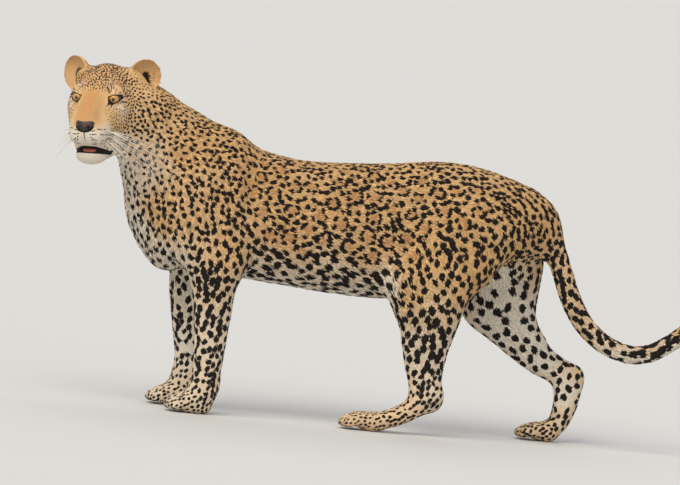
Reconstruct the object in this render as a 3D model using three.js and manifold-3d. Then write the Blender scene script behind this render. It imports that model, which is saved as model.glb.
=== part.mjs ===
// A standing leopard at life size, in millimetres, +Z up. It faces -X and its left side is -Y.
// The four paws stand on small flats at z = 0, and the head is turned to the animal's left.
import * as THREE from "three";
import { mergeVertices } from "three/addons/utils/BufferGeometryUtils.js";
import Module from "manifold-3d";

const wasm = await Module();
wasm.setup();

// Driving sizes of the body
const chestWidth = 218;
const bellyWidth = 240;
const hipWidth = 200;
const neckWidth = 176;
const pawSpacingFore = 166;
const pawSpacingHind = 190;
const eyeSpacing = 77;
const eyeRadius = 14.5;
const gap = 0.3;

// Where the joints are. The near side of the animal is its left.
const headAt = [-785, -104, 721];
const headTurn = 65;
const headPitch = 10;
const headRoll = 4;
const headSize = 1.12;
const headTall = 1.2;
const neckRoot = [-500, 0, 520];
const tailRoot = [312, 0, 552];

// Grid steps of the faceted surfaces, finest where the forms are smallest
const step = { head: 7.2, neck: 18, torso: 22, leg: 14.5, paw: 8.5, tail: 14 };

// Small vector helpers
const vec = (p) => new THREE.Vector3(...p);
const mix = (a, b, t) => a + (b - a) * t;

// The head has its own frame: forward along the nose, left, and up, from the point midway between the eyes.
const headFrame = new THREE.Matrix4();
{
  const turn = THREE.MathUtils.degToRad(headTurn);
  const pitch = THREE.MathUtils.degToRad(headPitch);
  const forward = new THREE.Vector3(
    -Math.cos(turn) * Math.cos(pitch), -Math.sin(turn) * Math.cos(pitch), -Math.sin(pitch));
  const left = new THREE.Vector3(Math.sin(turn), -Math.cos(turn), 0);
  left.applyAxisAngle(forward, THREE.MathUtils.degToRad(headRoll));
  const up = forward.clone().cross(left);
  headFrame.makeBasis(forward, left, up).scale(new THREE.Vector3(headSize, headSize, headTall));
  headFrame.setPosition(...headAt);
}
const onHead = (f, s, u) => new THREE.Vector3(f, s, u).applyMatrix4(headFrame).toArray();
const headWay = (f, s, u) =>
  new THREE.Vector3(f, s, u).transformDirection(headFrame).toArray();

// A limb is a chain of elliptical sections. Each station is [x, y, z, half width, half depth], and
// depthWay is the direction in which the depth is measured.
function limb(stations, depthWay, blend = 30, pieces = 4) {
  const line = new THREE.CatmullRomCurve3(stations.map((s) => new THREE.Vector3(s[0], s[1], s[2])));
  const girth = new THREE.CatmullRomCurve3(stations.map((s) => new THREE.Vector3(s[3], s[4], 0)));
  const count = (stations.length - 1) * pieces;
  const segments = [];
  for (let i = 0; i < count; i++) {
    const a = line.getPoint(i / count), b = line.getPoint((i + 1) / count);
    const ga = girth.getPoint(i / count), gb = girth.getPoint((i + 1) / count);
    const along = b.clone().sub(a), length = along.length();
    along.divideScalar(length);
    const deep = vec(depthWay).addScaledVector(along, -vec(depthWay).dot(along)).normalize();
    const side = deep.clone().cross(along);
    segments.push({ a: a.toArray(), along: along.toArray(), length, deep: deep.toArray(),
      side: side.toArray(), w0: ga.x, w1: gb.x, d0: ga.y, d1: gb.y });
  }
  const field = (x, y, z) => {
    let best = Infinity;
    for (const g of segments) {
      const vx = x - g.a[0], vy = y - g.a[1], vz = z - g.a[2];
      const run = vx * g.along[0] + vy * g.along[1] + vz * g.along[2];
      const t = Math.min(1, Math.max(0, run / g.length));
      const over = run - t * g.length;
      const wide = mix(g.w0, g.w1, t), deep = mix(g.d0, g.d1, t), cap = (wide + deep) / 2;
      const s = (vx * g.side[0] + vy * g.side[1] + vz * g.side[2]) / wide;
      const d = (vx * g.deep[0] + vy * g.deep[1] + vz * g.deep[2]) / deep;
      const c = over / cap;
      const k0 = Math.sqrt(s * s + d * d + c * c);
      const k1 = Math.sqrt((s / wide) ** 2 + (d / deep) ** 2 + (c / cap) ** 2);
      const value = k1 > 1e-9 ? (k0 * (k0 - 1)) / k1 : -Math.min(wide, deep);
      if (value < best) best = value;
    }
    return best;
  };
  return { field, blend };
}

// A muscle is an ellipsoid. ways are its three axes.
function muscle(centre, radii, ways = [[1, 0, 0], [0, 1, 0], [0, 0, 1]], blend = 30) {
  const [p, q, r] = ways.map((w) => vec(w).normalize().toArray());
  const field = (x, y, z) => {
    const vx = x - centre[0], vy = y - centre[1], vz = z - centre[2];
    const a = (vx * p[0] + vy * p[1] + vz * p[2]) / radii[0];
    const b = (vx * q[0] + vy * q[1] + vz * q[2]) / radii[1];
    const c = (vx * r[0] + vy * r[1] + vz * r[2]) / radii[2];
    const k0 = Math.sqrt(a * a + b * b + c * c);
    const k1 = Math.sqrt((a / radii[0]) ** 2 + (b / radii[1]) ** 2 + (c / radii[2]) ** 2);
    return k1 > 1e-9 ? (k0 * (k0 - 1)) / k1 : -Math.min(...radii);
  };
  return { field, blend };
}

// A muscle between two points, round across.
function strap(from, to, radius, blend = 25) {
  const a = vec(from), b = vec(to), along = b.clone().sub(a);
  const half = along.length() / 2 + radius * 0.5;
  const middle = a.clone().add(b).multiplyScalar(0.5);
  along.normalize();
  const other = Math.abs(along.y) < 0.9 ? new THREE.Vector3(0, 1, 0) : new THREE.Vector3(1, 0, 0);
  const across = along.clone().cross(other).normalize();
  const third = along.clone().cross(across);
  return muscle(middle.toArray(), [half, radius, radius],
    [along.toArray(), across.toArray(), third.toArray()], blend);
}

// Joins forms with soft creases, each as wide as its own blend.
function joined(forms) {
  return (x, y, z) => {
    let value = 1e6;
    for (const form of forms) {
      const other = form.field(x, y, z);
      const crease = Math.max(form.blend - Math.abs(value - other), 0) / form.blend;
      value = Math.min(value, other) - (crease * crease * form.blend) / 4;
    }
    return value;
  };
}

// The trunk: ribs and belly, with the long muscles of the back above them.
const trunk = [
  limb([
    [-560, 0, 500, 88, 140],
    [-470, 0, 490, 101, 162],
    [-380, 0, 476, chestWidth / 2, 154],
    [-270, 0, 462, 114, 146],
    [-145, 0, 459, bellyWidth / 2, 152],
    [-20, 0, 466, 114, 156],
    [80, 0, 492, 104, 146],
    [180, 0, 512, hipWidth / 2, 120],
    [262, 0, 516, 84, 90],
    [312, 0, 512, 56, 66],
  ], [0, 0, 1], 30, 3),
  limb([
    [-470, 0, 612, 46, 38],
    [-395, 0, 588, 50, 34],
    [-270, 0, 577, 52, 32],
    [-145, 0, 586, 54, 30],
    [-20, 0, 596, 54, 32],
    [95, 0, 610, 54, 34],
    [193, 0, 594, 50, 36],
    [270, 0, 563, 44, 36],
    [316, 0, 535, 34, 34],
  ], [0, 0, 1], 40, 2),
  muscle([-560, 0, 424], [66, 86, 102], undefined, 36),
];

// The neck runs up from between the shoulders to the back of the skull.
const throat = [
  limb([
    [neckRoot[0], 0, 536, 102, 144],
    [-557, 2, 589, 98, 125],
    [-614, 2, 641, neckWidth / 2, 101],
    [-664, -8, 684, 82, 87],
    [...onHead(-116, 0, -42), 72, 74],
  ], [0.6, 0, 0.8], 40, 3),
  limb([[-560, 0, 420, 60, 56], [-602, -4, 500, 54, 50], [-654, -26, 580, 50, 44]], [1, 0, 0], 36, 3),
];

// The head, in its own frame of forward, left and up.
const sized = (radii) => [radii[0] * headSize, radii[1] * headSize, radii[2] * headTall];
const headLimb = (stations, blend, pieces = 3) =>
  limb(stations.map(([f, s, u, w, d]) => [...onHead(f, s, u), w * headSize, d * headTall]), headWay(0, 0, 1),
    blend, pieces);
const headWays = [headWay(1, 0, 0), headWay(0, 1, 0), headWay(0, 0, 1)];
const headMuscle = (f, s, u, radii, blend = 16, ways = headWays) =>
  muscle(onHead(f, s, u), sized(radii), ways, blend);
const bothSides = (make) => [1, -1].flatMap((side) => make(side));
const skull = [
  headMuscle(-84, 0, 0, [70, 60, 50]),
  headMuscle(-76, 0, 12, [46, 38, 38], 24),
  headMuscle(-40, 0, 8, [52, 50, 36], 18),
  headMuscle(-120, 0, -22, [44, 60, 54], 24),
  headMuscle(-30, 0, -38, [60, 56, 44], 22),
  headLimb([[-24, 0, 4, 30, 20], [18, 0, -7, 26, 22], [50, 0, -18, 23, 20], [70, 0, -29, 19, 15]], 20),
  headLimb([[-20, 0, -44, 54, 40], [22, 0, -50, 46, 37], [52, 0, -54, 36, 27]], 22),
  ...bothSides((side) => [
    headMuscle(-9, side * 35, 17, [24, 19, 11], 12),
    headMuscle(-40, side * 49, -24, [46, 23, 34], 18),
    headMuscle(8, side * 31, -38, [38, 22, 30], 20),
    headMuscle(-14, side * 34, -80, [38, 17, 24], 24),
    headMuscle(-72, side * 50, -54, [44, 27, 44], 20),
    headMuscle(-108, side * 50, -56, [42, 29, 48], 24),
    headMuscle(50, side * 20, -60, [35, 23, 24], 10),
    headMuscle(-98, side * 46, 22, [30, 28, 22], 18),
  ]),
];
const jawBone = [
  headLimb([[-74, 0, -86, 54, 32], [-24, 0, -100, 45, 25], [14, 0, -105, 38, 20], [34, 0, -107, 33, 18]], 20),
  headMuscle(38, 0, -108, [20, 29, 15], 14),
];
const lids = bothSides((side) => [
  headMuscle(-5, side * (eyeSpacing / 2), 0, [20, 20, 18], 12),
]);

// Forelegs. Each column of a leg is [x, z, half width, half depth] at the leg's own distance from the middle.
function foreleg(side, ahead) {
  const y = (side * pawSpacingFore) / 2;
  const blade = [
    limb([
      [-436, side * 40, 636, 28, 32],
      [-470, side * 69, 570, 32, 62],
      [-520, side * 83, 490, 38, 66],
    ], [1, 0, 0.4], 44, 3),
    limb([
      [-536, side * 79, 462, 40, 62],
      [-490, side * 89, 400, 42, 68],
      [-448, side * 89, 340, 40, 58],
    ], [1, 0, 0.5], 36, 3),
    strap([-430, side * 77, 560], [-412, side * 92, 372], 37, 40),
  ];
  const fore = limb([
    [-450 - ahead * 0.8, side * 88, 356, 40, 56],
    [-451 - ahead, side * 86, 300, 38, 54],
    [-447 - ahead, side * 85, 240, 34, 49],
    [-445 - ahead * 0.8, y, 170, 31, 43],
    [-445 - ahead * 0.6, y, 110, 31, 38],
    [-448 - ahead * 0.6, y, 62, 33, 37],
  ], [1, 0, 0], 30, 4);
  return [...blade, fore];
}

// A forepaw, with four toes, its wrist and the ball that it stands on.
function forepaw(side, ahead) {
  const y = (side * pawSpacingFore) / 2, x = -448 - ahead * 0.6;
  const toes = [-1.5, -0.5, 0.5, 1.5].map((place) => {
    const out = place * 19, reach = 86 - Math.abs(place) * 9;
    return limb([
      [x - 28, y + out * 0.75, 30, 15, 20],
      [x - reach + 26, y + out * 1.02, 30, 15, 18],
      [x - reach, y + out * 1.06, 17, 13.5, 15],
    ], [0, 0, 1], 9, 3);
  });
  return [
    limb([[x, y, 70, 33, 37], [x - 8, y, 40, 35, 36], [x - 34, y, 26, 38, 24]], [1, 0, 0.4], 18, 3),
    muscle([x - 12, y, 12], [36, 32, 16], undefined, 16),
    ...toes,
  ];
}

// The near hind leg steps forward, with its heel low. The far one stretches back.
const hindStance = {
  near: {
    side: -1,
    thigh: [[176, 516, 62, 90], [118, 448, 66, 114], [74, 380, 58, 102], [58, 320, 48, 84]],
    shank: [[62, 346, 50, 80], [72, 280, 46, 75], [70, 220, 38, 62], [73, 160, 32, 50], [80, 112, 29, 41]],
    heel: [102, 90],
    foot: [[88, 92, 27, 36], [56, 62, 30, 28], [14, 38, 34, 25], [-28, 27, 38, 20]],
    knee: [6, 368],
    toes: [-28, 88],
  },
  far: {
    side: 1,
    thigh: [[226, 516, 62, 88], [262, 440, 64, 100], [268, 370, 56, 96], [270, 310, 48, 84]],
    shank: [[256, 340, 50, 88], [292, 280, 44, 64], [342, 231, 36, 53], [382, 195, 31, 42],
      [430, 172, 27, 36]],
    heel: [474, 158],
    foot: [[456, 160, 26, 34], [460, 116, 28, 36], [456, 80, 28, 32], [446, 48, 31, 28], [428, 30, 35, 22]],
    knee: [226, 324],
    toes: [428, 82],
  },
};

function hindleg({ side, thigh, shank, knee }) {
  const out = (pawSpacingHind / 2) * side;
  const rise = [0.66, 0.72, 0.84, 0.92];
  return [
    limb(thigh.map(([x, z, w, d], i) => [x, out * rise[i], z, w, d]), [1, 0, 0.2], 40, 3),
    limb(shank.map(([x, z, w, d], i) => [x, out * (0.9 + i * 0.025), z, w, d]), [1, 0, 0.25], 34, 3),
    muscle([knee[0], out * 0.88, knee[1]], [38, 36, 46], undefined, 40),
  ];
}

function hindfoot({ side, heel, foot, toes }) {
  const y = (pawSpacingHind / 2) * side, [x, reachAll] = toes;
  const digits = [-1.5, -0.5, 0.5, 1.5].map((place) => {
    const outward = place * 18, reach = reachAll - Math.abs(place) * 9;
    return limb([
      [x - 10, y + outward * 0.8, 28, 14.5, 18],
      [x - reach + 28, y + outward * 1.02, 28, 14.5, 17],
      [x - reach + 2, y + outward * 1.06, 16, 13, 14.5],
    ], [0, 0, 1], 9, 3);
  });
  return [
    limb(foot.map(([fx, z, w, d]) => [fx, y, z, w, d]), [0.5, 0, 1], 22, 3),
    muscle([heel[0], y, heel[1]], [26, 22, 32], undefined, 22),
    muscle([x - 14, y, 12], [32, 32, 15], undefined, 16),
    ...digits,
  ];
}

// The tail hangs from the rump, sweeps back and turns up at its end.
const tailLine = [
  [264, 0, 560, 38, 40],
  [...tailRoot, 31, 33],
  [354, -4, 500, 27, 28],
  [389, -8, 428, 27, 28],
  [422, -12, 352, 27, 28],
  [467, -16, 288, 26, 27],
  [532, -18, 246, 25.5, 26],
  [604, -16, 236, 24.5, 25],
  [680, -12, 276, 23.5, 24],
  [742, -6, 340, 23, 23.5],
  [786, 0, 412, 22, 22],
  [806, 4, 480, 17, 17],
];
const tail = [limb(tailLine, [0.4, 0, 1], 40, 4)];

// Turns a closed three.js geometry into a solid that can be joined and cut.
function solid(geometry) {
  let bare = geometry;
  if (geometry.attributes.normal) {
    bare = geometry.clone();
    bare.deleteAttribute("normal");
    bare.deleteAttribute("uv");
    bare = mergeVertices(bare, 1e-4);
  }
  return new wasm.Manifold(new wasm.Mesh({
    numProp: 3,
    vertProperties: new Float32Array(bare.attributes.position.array),
    triVerts: new Uint32Array(bare.index.array),
  }));
}

// Fills the corners of grid cells where the surface would pass through twice, so that each cell holds
// one sheet of it.
function singleSheets(values, n, index, border) {
  const corner = (i, j, k) => [0, 1, 2, 3, 4, 5, 6, 7].map((c) =>
    index(i + (c & 1), j + ((c >> 1) & 1), k + ((c >> 2) & 1)));
  const pieces = (flags, wanted) => {
    const left = new Set([0, 1, 2, 3, 4, 5, 6, 7].filter((c) => flags[c] === wanted));
    let count = 0;
    while (left.size) {
      const stack = [left.values().next().value];
      left.delete(stack[0]);
      count++;
      while (stack.length) {
        const c = stack.pop();
        for (const next of [c ^ 1, c ^ 2, c ^ 4]) if (left.delete(next)) stack.push(next);
      }
    }
    return count;
  };
  const sides = [[0, 1, 3, 2], [4, 5, 7, 6], [0, 1, 5, 4], [2, 3, 7, 6], [0, 2, 6, 4], [1, 3, 7, 5]];
  for (let turn = 0, changed = true; turn < 12 && changed; turn++) {
    changed = false;
    for (let k = 0; k < n[2] - 1; k++)
      for (let j = 0; j < n[1] - 1; j++)
        for (let i = 0; i < n[0] - 1; i++) {
          const ids = corner(i, j, k), flags = ids.map((id) => values[id] < 0);
          const inside = flags.filter(Boolean).length;
          if (inside === 0 || inside === 8) continue;
          const twisted = sides.some(([a, b, c, d]) =>
            flags[a] === flags[c] && flags[b] === flags[d] && flags[a] !== flags[b]);
          if (!twisted && pieces(flags, true) === 1 && pieces(flags, false) === 1) continue;
          const near = ids.filter((id, c) => !flags[c]).reduce((a, b) => (values[a] < values[b] ? a : b));
          if (values[near] === border) continue;
          values[near] = -1e-3;
          changed = true;
        }
  }
}

// Wraps a field's zero surface in faces, one vertex to each grid cell that the surface passes through.
function wrapped(forms, low, high, size, share = 0.5) {
  const field = joined(forms);
  const n = low.map((l, i) => Math.ceil((high[i] - l) / size) + 3);
  const at = (i, j, k) => [low[0] + (i - 1) * size, low[1] + (j - 1) * size, low[2] + (k - 1) * size];
  const index = (i, j, k) => (k * n[1] + j) * n[0] + i;
  const values = new Float32Array(n[0] * n[1] * n[2]);
  for (let k = 0; k < n[2]; k++)
    for (let j = 0; j < n[1]; j++)
      for (let i = 0; i < n[0]; i++) {
        const border = i === 0 || j === 0 || k === 0 || i === n[0] - 1 || j === n[1] - 1 || k === n[2] - 1;
        const value = field(...at(i, j, k));
        values[index(i, j, k)] = border ? size * 0.5 : value;
      }
  singleSheets(values, n, index, size * 0.5);
  const cellOf = new Int32Array(values.length).fill(-1);
  const points = [];
  const corners = [[0, 0, 0], [1, 0, 0], [0, 1, 0], [1, 1, 0], [0, 0, 1], [1, 0, 1], [0, 1, 1], [1, 1, 1]];
  const edges = [[0, 1], [0, 2], [0, 4], [1, 3], [1, 5], [2, 3],
    [2, 6], [3, 7], [4, 5], [4, 6], [5, 7], [6, 7]];
  for (let k = 0; k < n[2] - 1; k++)
    for (let j = 0; j < n[1] - 1; j++)
      for (let i = 0; i < n[0] - 1; i++) {
        const v = corners.map(([a, b, c]) => values[index(i + a, j + b, k + c)]);
        const inside = v.filter((x) => x < 0).length;
        if (inside === 0 || inside === 8) continue;
        const p = new THREE.Vector3();
        let crossings = 0;
        for (const [a, b] of edges) {
          if (v[a] < 0 === v[b] < 0) continue;
          const t = v[a] / (v[a] - v[b]);
          p.x += mix(corners[a][0], corners[b][0], t);
          p.y += mix(corners[a][1], corners[b][1], t);
          p.z += mix(corners[a][2], corners[b][2], t);
          crossings++;
        }
        const base = at(i, j, k);
        p.divideScalar(crossings).multiplyScalar(size).add(vec(base));
        const edge = i < 1 || j < 1 || k < 1 || i > n[0] - 3 || j > n[1] - 3 || k > n[2] - 3;
        if (!edge) settle(p, field, size * 0.35);
        cellOf[index(i, j, k)] = points.length;
        points.push(p);
      }
  const faces = [];
  const quad = (a, b, c, d, flip) => {
    const [p, q, r, s] = flip ? [a, d, c, b] : [a, b, c, d];
    const across = points[p].distanceTo(points[r]) <= points[q].distanceTo(points[s]);
    faces.push(...(across ? [p, q, r, p, r, s] : [p, q, s, q, r, s]));
  };
  for (let k = 0; k < n[2] - 1; k++)
    for (let j = 0; j < n[1] - 1; j++)
      for (let i = 0; i < n[0] - 1; i++) {
        const here = values[index(i, j, k)] < 0;
        if (here !== values[index(i + 1, j, k)] < 0)
          quad(cellOf[index(i, j - 1, k - 1)], cellOf[index(i, j, k - 1)],
            cellOf[index(i, j, k)], cellOf[index(i, j - 1, k)], !here);
        if (here !== values[index(i, j + 1, k)] < 0)
          quad(cellOf[index(i - 1, j, k - 1)], cellOf[index(i - 1, j, k)],
            cellOf[index(i, j, k)], cellOf[index(i, j, k - 1)], !here);
        if (here !== values[index(i, j, k + 1)] < 0)
          quad(cellOf[index(i - 1, j - 1, k)], cellOf[index(i, j - 1, k)],
            cellOf[index(i, j, k)], cellOf[index(i - 1, j, k)], !here);
      }
  return solid(thinned(points, faces, share));
}

// Merges the shortest and flattest edges until the given share of the faces is left. A merged point goes
// where it is nearest to the planes of the faces it stands for.
function thinned(points, faces, share) {
  const px = points.map((p) => p.toArray());
  const tris = [];
  const around = px.map(() => new Set());
  for (let i = 0; i < faces.length; i += 3) {
    const t = [faces[i], faces[i + 1], faces[i + 2]];
    for (const v of t) around[v].add(tris.length);
    tris.push(t);
  }
  const cross = (a, b, c) => {
    const ux = b[0] - a[0], uy = b[1] - a[1], uz = b[2] - a[2];
    const vx = c[0] - a[0], vy = c[1] - a[1], vz = c[2] - a[2];
    return [uy * vz - uz * vy, uz * vx - ux * vz, ux * vy - uy * vx];
  };
  const sums = px.map(() => new Float64Array(10));
  for (const [a, b, c] of tris) {
    const m = cross(px[a], px[b], px[c]);
    const size = Math.hypot(...m) || 1e-12;
    const [x, y, z] = m.map((v) => v / size), d = -(x * px[a][0] + y * px[a][1] + z * px[a][2]);
    const q = [x * x, x * y, x * z, x * d, y * y, y * z, y * d, z * z, z * d, d * d];
    for (const v of [a, b, c]) for (let e = 0; e < 10; e++) sums[v][e] += q[e] * size;
  }
  const cost = (q, [x, y, z]) =>
    q[0] * x * x + 2 * q[1] * x * y + 2 * q[2] * x * z + 2 * q[3] * x + q[4] * y * y +
    2 * q[5] * y * z + 2 * q[6] * y + q[7] * z * z + 2 * q[8] * z + q[9];
  const best = (a, b) => {
    const q = sums[a].map((v, e) => v + sums[b][e]);
    const det = q[0] * (q[4] * q[7] - q[5] * q[5]) - q[1] * (q[1] * q[7] - q[5] * q[2]) +
      q[2] * (q[1] * q[5] - q[4] * q[2]);
    const middle = px[a].map((v, e) => (v + px[b][e]) / 2);
    const span = Math.hypot(...px[a].map((v, e) => v - px[b][e]));
    const choices = [middle, px[a], px[b]];
    const trace = q[0] + q[4] + q[7];
    if (Math.abs(det) > 1e-4 * trace ** 3) {
      const [r, s, t] = [-q[3], -q[6], -q[8]];
      const spot = [
        (r * (q[4] * q[7] - q[5] * q[5]) - q[1] * (s * q[7] - q[5] * t) + q[2] * (s * q[5] - q[4] * t)) / det,
        (q[0] * (s * q[7] - q[5] * t) - r * (q[1] * q[7] - q[5] * q[2]) + q[2] * (q[1] * t - s * q[2])) / det,
        (q[0] * (q[4] * t - s * q[5]) - q[1] * (q[1] * t - s * q[2]) + r * (q[1] * q[5] - q[4] * q[2])) / det,
      ];
      if (Math.hypot(...spot.map((v, e) => v - middle[e])) < span) choices.unshift(spot);
    }
    let at = choices[0], least = Infinity;
    for (const choice of choices) {
      const value = cost(q, choice);
      if (value < least) [at, least] = [choice, value];
    }
    return { a, b, at, cost: Math.max(least, 0) + 0.02 * span ** 3 };
  };
  const heap = [];
  const push = (item) => {
    let i = heap.push(item) - 1;
    while (i > 0) {
      const up = (i - 1) >> 1;
      if (heap[up].cost <= heap[i].cost) break;
      [heap[up], heap[i]] = [heap[i], heap[up]];
      i = up;
    }
  };
  const pull = () => {
    const top = heap[0], last = heap.pop();
    if (heap.length) {
      heap[0] = last;
      for (let i = 0; ;) {
        let low = i;
        for (const c of [2 * i + 1, 2 * i + 2]) if (c < heap.length && heap[c].cost < heap[low].cost) low = c;
        if (low === i) break;
        [heap[low], heap[i]] = [heap[i], heap[low]];
        i = low;
      }
    }
    return top;
  };
  const version = new Int32Array(px.length);
  const neighbours = (v) => {
    const found = new Set();
    for (const f of around[v]) for (const w of tris[f]) if (w !== v) found.add(w);
    return found;
  };
  const offer = (a, b) => push({ ...best(a, b), va: version[a], vb: version[b] });
  for (let v = 0; v < px.length; v++) for (const w of neighbours(v)) if (w > v) offer(v, w);
  let count = tris.length;
  const goal = tris.length * share;
  while (count > goal && heap.length) {
    const { a, b, at, va, vb } = pull();
    if (version[a] !== va || version[b] !== vb || !around[a].size || !around[b].size) continue;
    const shared = [...around[a]].filter((f) => around[b].has(f));
    const na = neighbours(a), nb = neighbours(b);
    if (shared.length !== 2 || [...na].filter((v) => nb.has(v)).length !== 2) continue;
    if (na.size + nb.size < 8) continue;
    const turned = [a, b].some((v) => [...around[v]].some((f) => {
      if (shared.includes(f)) return false;
      const before = cross(...tris[f].map((w) => px[w]));
      const after = cross(...tris[f].map((w) => (w === v ? at : px[w])));
      const dot = before[0] * after[0] + before[1] * after[1] + before[2] * after[2];
      return dot < 0.35 * Math.hypot(...before) * Math.hypot(...after) + 1e-9;
    }));
    if (turned) continue;
    for (const f of shared) {
      for (const v of tris[f]) around[v].delete(f);
      tris[f] = null;
      count--;
    }
    for (const f of around[b]) {
      tris[f] = tris[f].map((v) => (v === b ? a : v));
      around[a].add(f);
    }
    around[b] = new Set();
    px[a] = at;
    for (let e = 0; e < 10; e++) sums[a][e] += sums[b][e];
    version[a]++;
    for (const v of neighbours(a)) offer(a, v);
  }
  const renumber = new Map();
  const kept = [], flat = [];
  for (const t of tris) {
    if (!t) continue;
    for (const v of t) {
      if (!renumber.has(v)) {
        renumber.set(v, kept.length);
        kept.push(new THREE.Vector3(...px[v]));
      }
      flat.push(renumber.get(v));
    }
  }
  return new THREE.BufferGeometry().setFromPoints(kept).setIndex(flat);
}

// Moves a point onto the zero surface, by at most the given reach.
function settle(p, field, reach) {
  const h = 0.5, start = p.clone();
  for (let turn = 0; turn < 3; turn++) {
    const value = field(p.x, p.y, p.z);
    const slope = new THREE.Vector3(
      field(p.x + h, p.y, p.z) - field(p.x - h, p.y, p.z),
      field(p.x, p.y + h, p.z) - field(p.x, p.y - h, p.z),
      field(p.x, p.y, p.z + h) - field(p.x, p.y, p.z - h)).divideScalar(2 * h);
    p.addScaledVector(slope, -value / Math.max(slope.lengthSq(), 0.05));
  }
  const moved = p.clone().sub(start);
  if (moved.length() > reach) p.copy(start).addScaledVector(moved.normalize(), reach);
}

// A plane is a normal and a point on it. Cuts keep the side that the normal points to.
const plane = (normal, point) => {
  const way = vec(normal).normalize();
  return { way: way.toArray(), offset: way.dot(vec(point)) };
};
const flipped = ({ way, offset }) => ({ way: way.map((c) => -c), offset: -offset });
const trim = (body, planes, clear = 0) =>
  planes.reduce((rest, { way, offset }) => rest.trimByPlane(way, offset + clear), body);

// The space inside several planes, as a solid to cut with.
function region(planes, clear = 0) {
  const all = solid(new THREE.BoxGeometry(3000, 3000, 3000));
  return trim(all, planes, clear);
}

// Where the body is parted
const neckCut = plane([-0.874, 0, 0.485], [-502, 0, 716]);
const nape = plane(headWay(0.89, 0, 0.46), onHead(-138, 0, 14));
const legCut = (side) => ({
  fore: [plane([0, side * 0.915, -0.4], [0, side * 116, 520]), plane([-1, 0, 0], [-380, 0, 0])],
  hind: [plane([0, side * 0.924, -0.383], [0, side * 104, 560]), plane([0.911, 0, -0.409], [36, 0, 560])],
});
const farHindFront = plane([0.94, 0, -0.34], [96, 0, 560]);
const wristHeight = 66;
const tailCut = [plane([0.6, 0, -0.8], [336, 0, 528]), plane([0.9, 0, 0.43], [328, 0, 485]),
  plane([0, 1, 0], [0, -50, 0]), plane([0, -1, 0], [0, 50, 0])];
const floor = plane([0, 0, 1], [0, 0, 0]);

const left = -1, right = 1;
const farAhead = 30;
const foreRegion = { [left]: legCut(left).fore, [right]: legCut(right).fore };
const hindRegion = {
  [left]: legCut(left).hind,
  [right]: [legCut(right).hind[0], farHindFront],
};

// Materials, one for each kind of surface
const finish = (color, roughness) => new THREE.MeshStandardMaterial({ color, roughness, metalness: 0 });
const materials = {
  coat: finish(0xc99a5b, 0.85),
  ear: finish(0xb8864f, 0.85),
  eye: finish(0xb07a2a, 0.15),
  nose: finish(0x4a2f28, 0.45),
  mouth: finish(0x8a4a44, 0.5),
};

const leopard = new THREE.Group();
leopard.name = "leopard";

function add(name, body, material) {
  const largest = body.decompose().reduce((a, b) => (a.volume() > b.volume() ? a : b));
  const { vertProperties, triVerts } = largest.getMesh();
  const geometry = new THREE.BufferGeometry();
  geometry.setAttribute("position", new THREE.BufferAttribute(new Float32Array(vertProperties), 3));
  geometry.setIndex(new THREE.BufferAttribute(new Uint32Array(triVerts), 1));
  geometry.computeVertexNormals();
  const mesh = new THREE.Mesh(geometry, material);
  mesh.name = name;
  leopard.add(mesh);
  return largest;
}

const shoulders = [...foreleg(left, 0), ...foreleg(right, farAhead)];
const haunches = [...hindleg(hindStance.near), ...hindleg(hindStance.far)];

// Torso
{
  const whole = wrapped([...trunk, ...throat.slice(0, 1), ...shoulders, ...haunches, ...tail],
    [-700, -170, 230], [440, 170, 760], step.torso, 0.42);
  let body = trim(whole, [flipped(neckCut)]);
  for (const side of [left, right]) {
    body = body.subtract(region(foreRegion[side], -gap));
    body = body.subtract(region(hindRegion[side], -gap));
  }
  body = body.subtract(region(tailCut, -gap));
  add("torso", body, materials.coat);
}

// Neck
{
  const whole = wrapped([...trunk, ...throat, ...shoulders, ...skull, ...jawBone],
    [-820, -170, 380], [-480, 150, 860], step.neck, 0.42);
  add("neck", trim(trim(whole, [neckCut], gap), [flipped(nape)], gap), materials.coat);
}

// Forelegs and their paws
for (const [name, side, ahead] of [["left", left, 0], ["right", right, farAhead]]) {
  const leg = foreleg(side, ahead);
  const out = side * 90;
  const whole = wrapped([...trunk, ...throat.slice(0, 1), ...leg, ...forepaw(side, ahead)],
    [-640, out - 85, 10], [-360, out + 85, 560], step.leg, 0.36);
  const wrist = plane([0, 0, 1], [0, 0, wristHeight]);
  add("foreleg_" + name, trim(trim(whole, foreRegion[side]), [wrist], gap), materials.coat);
  const paw = wrapped([...leg, ...forepaw(side, ahead)],
    [-620, out - 70, -12], [-380, out + 70, 110], step.paw, 0.42);
  add("forepaw_" + name, trim(trim(paw, [flipped(wrist)]), [floor]), materials.coat);
}

// Hind legs and their feet
const hockCut = {
  near: plane([0.12, 0, -1], [96, 0, 116]),
  far: plane([0.81, 0, -0.58], [436, 0, 172]),
};
for (const [name, stance, cut] of [["left", hindStance.near, hockCut.near],
  ["right", hindStance.far, hockCut.far]]) {
  const { side } = stance;
  const out = side * 95;
  const leg = hindleg(stance), foot = hindfoot(stance);
  const whole = wrapped([...trunk, ...leg, ...foot],
    [-90, out - 90, 20], [540, out + 90, 620], step.leg, 0.34);
  const haunch = trim(trim(whole, hindRegion[side]), [flipped(cut)], gap);
  add("hindleg_" + name, haunch.subtract(region(tailCut, -gap)), materials.coat);
  const low = wrapped([...leg, ...foot], [-160, out - 75, -12], [540, out + 75, 240], step.paw, 0.36);
  add("hindfoot_" + name, trim(trim(low, [cut]), [floor]), materials.coat);
}

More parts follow.
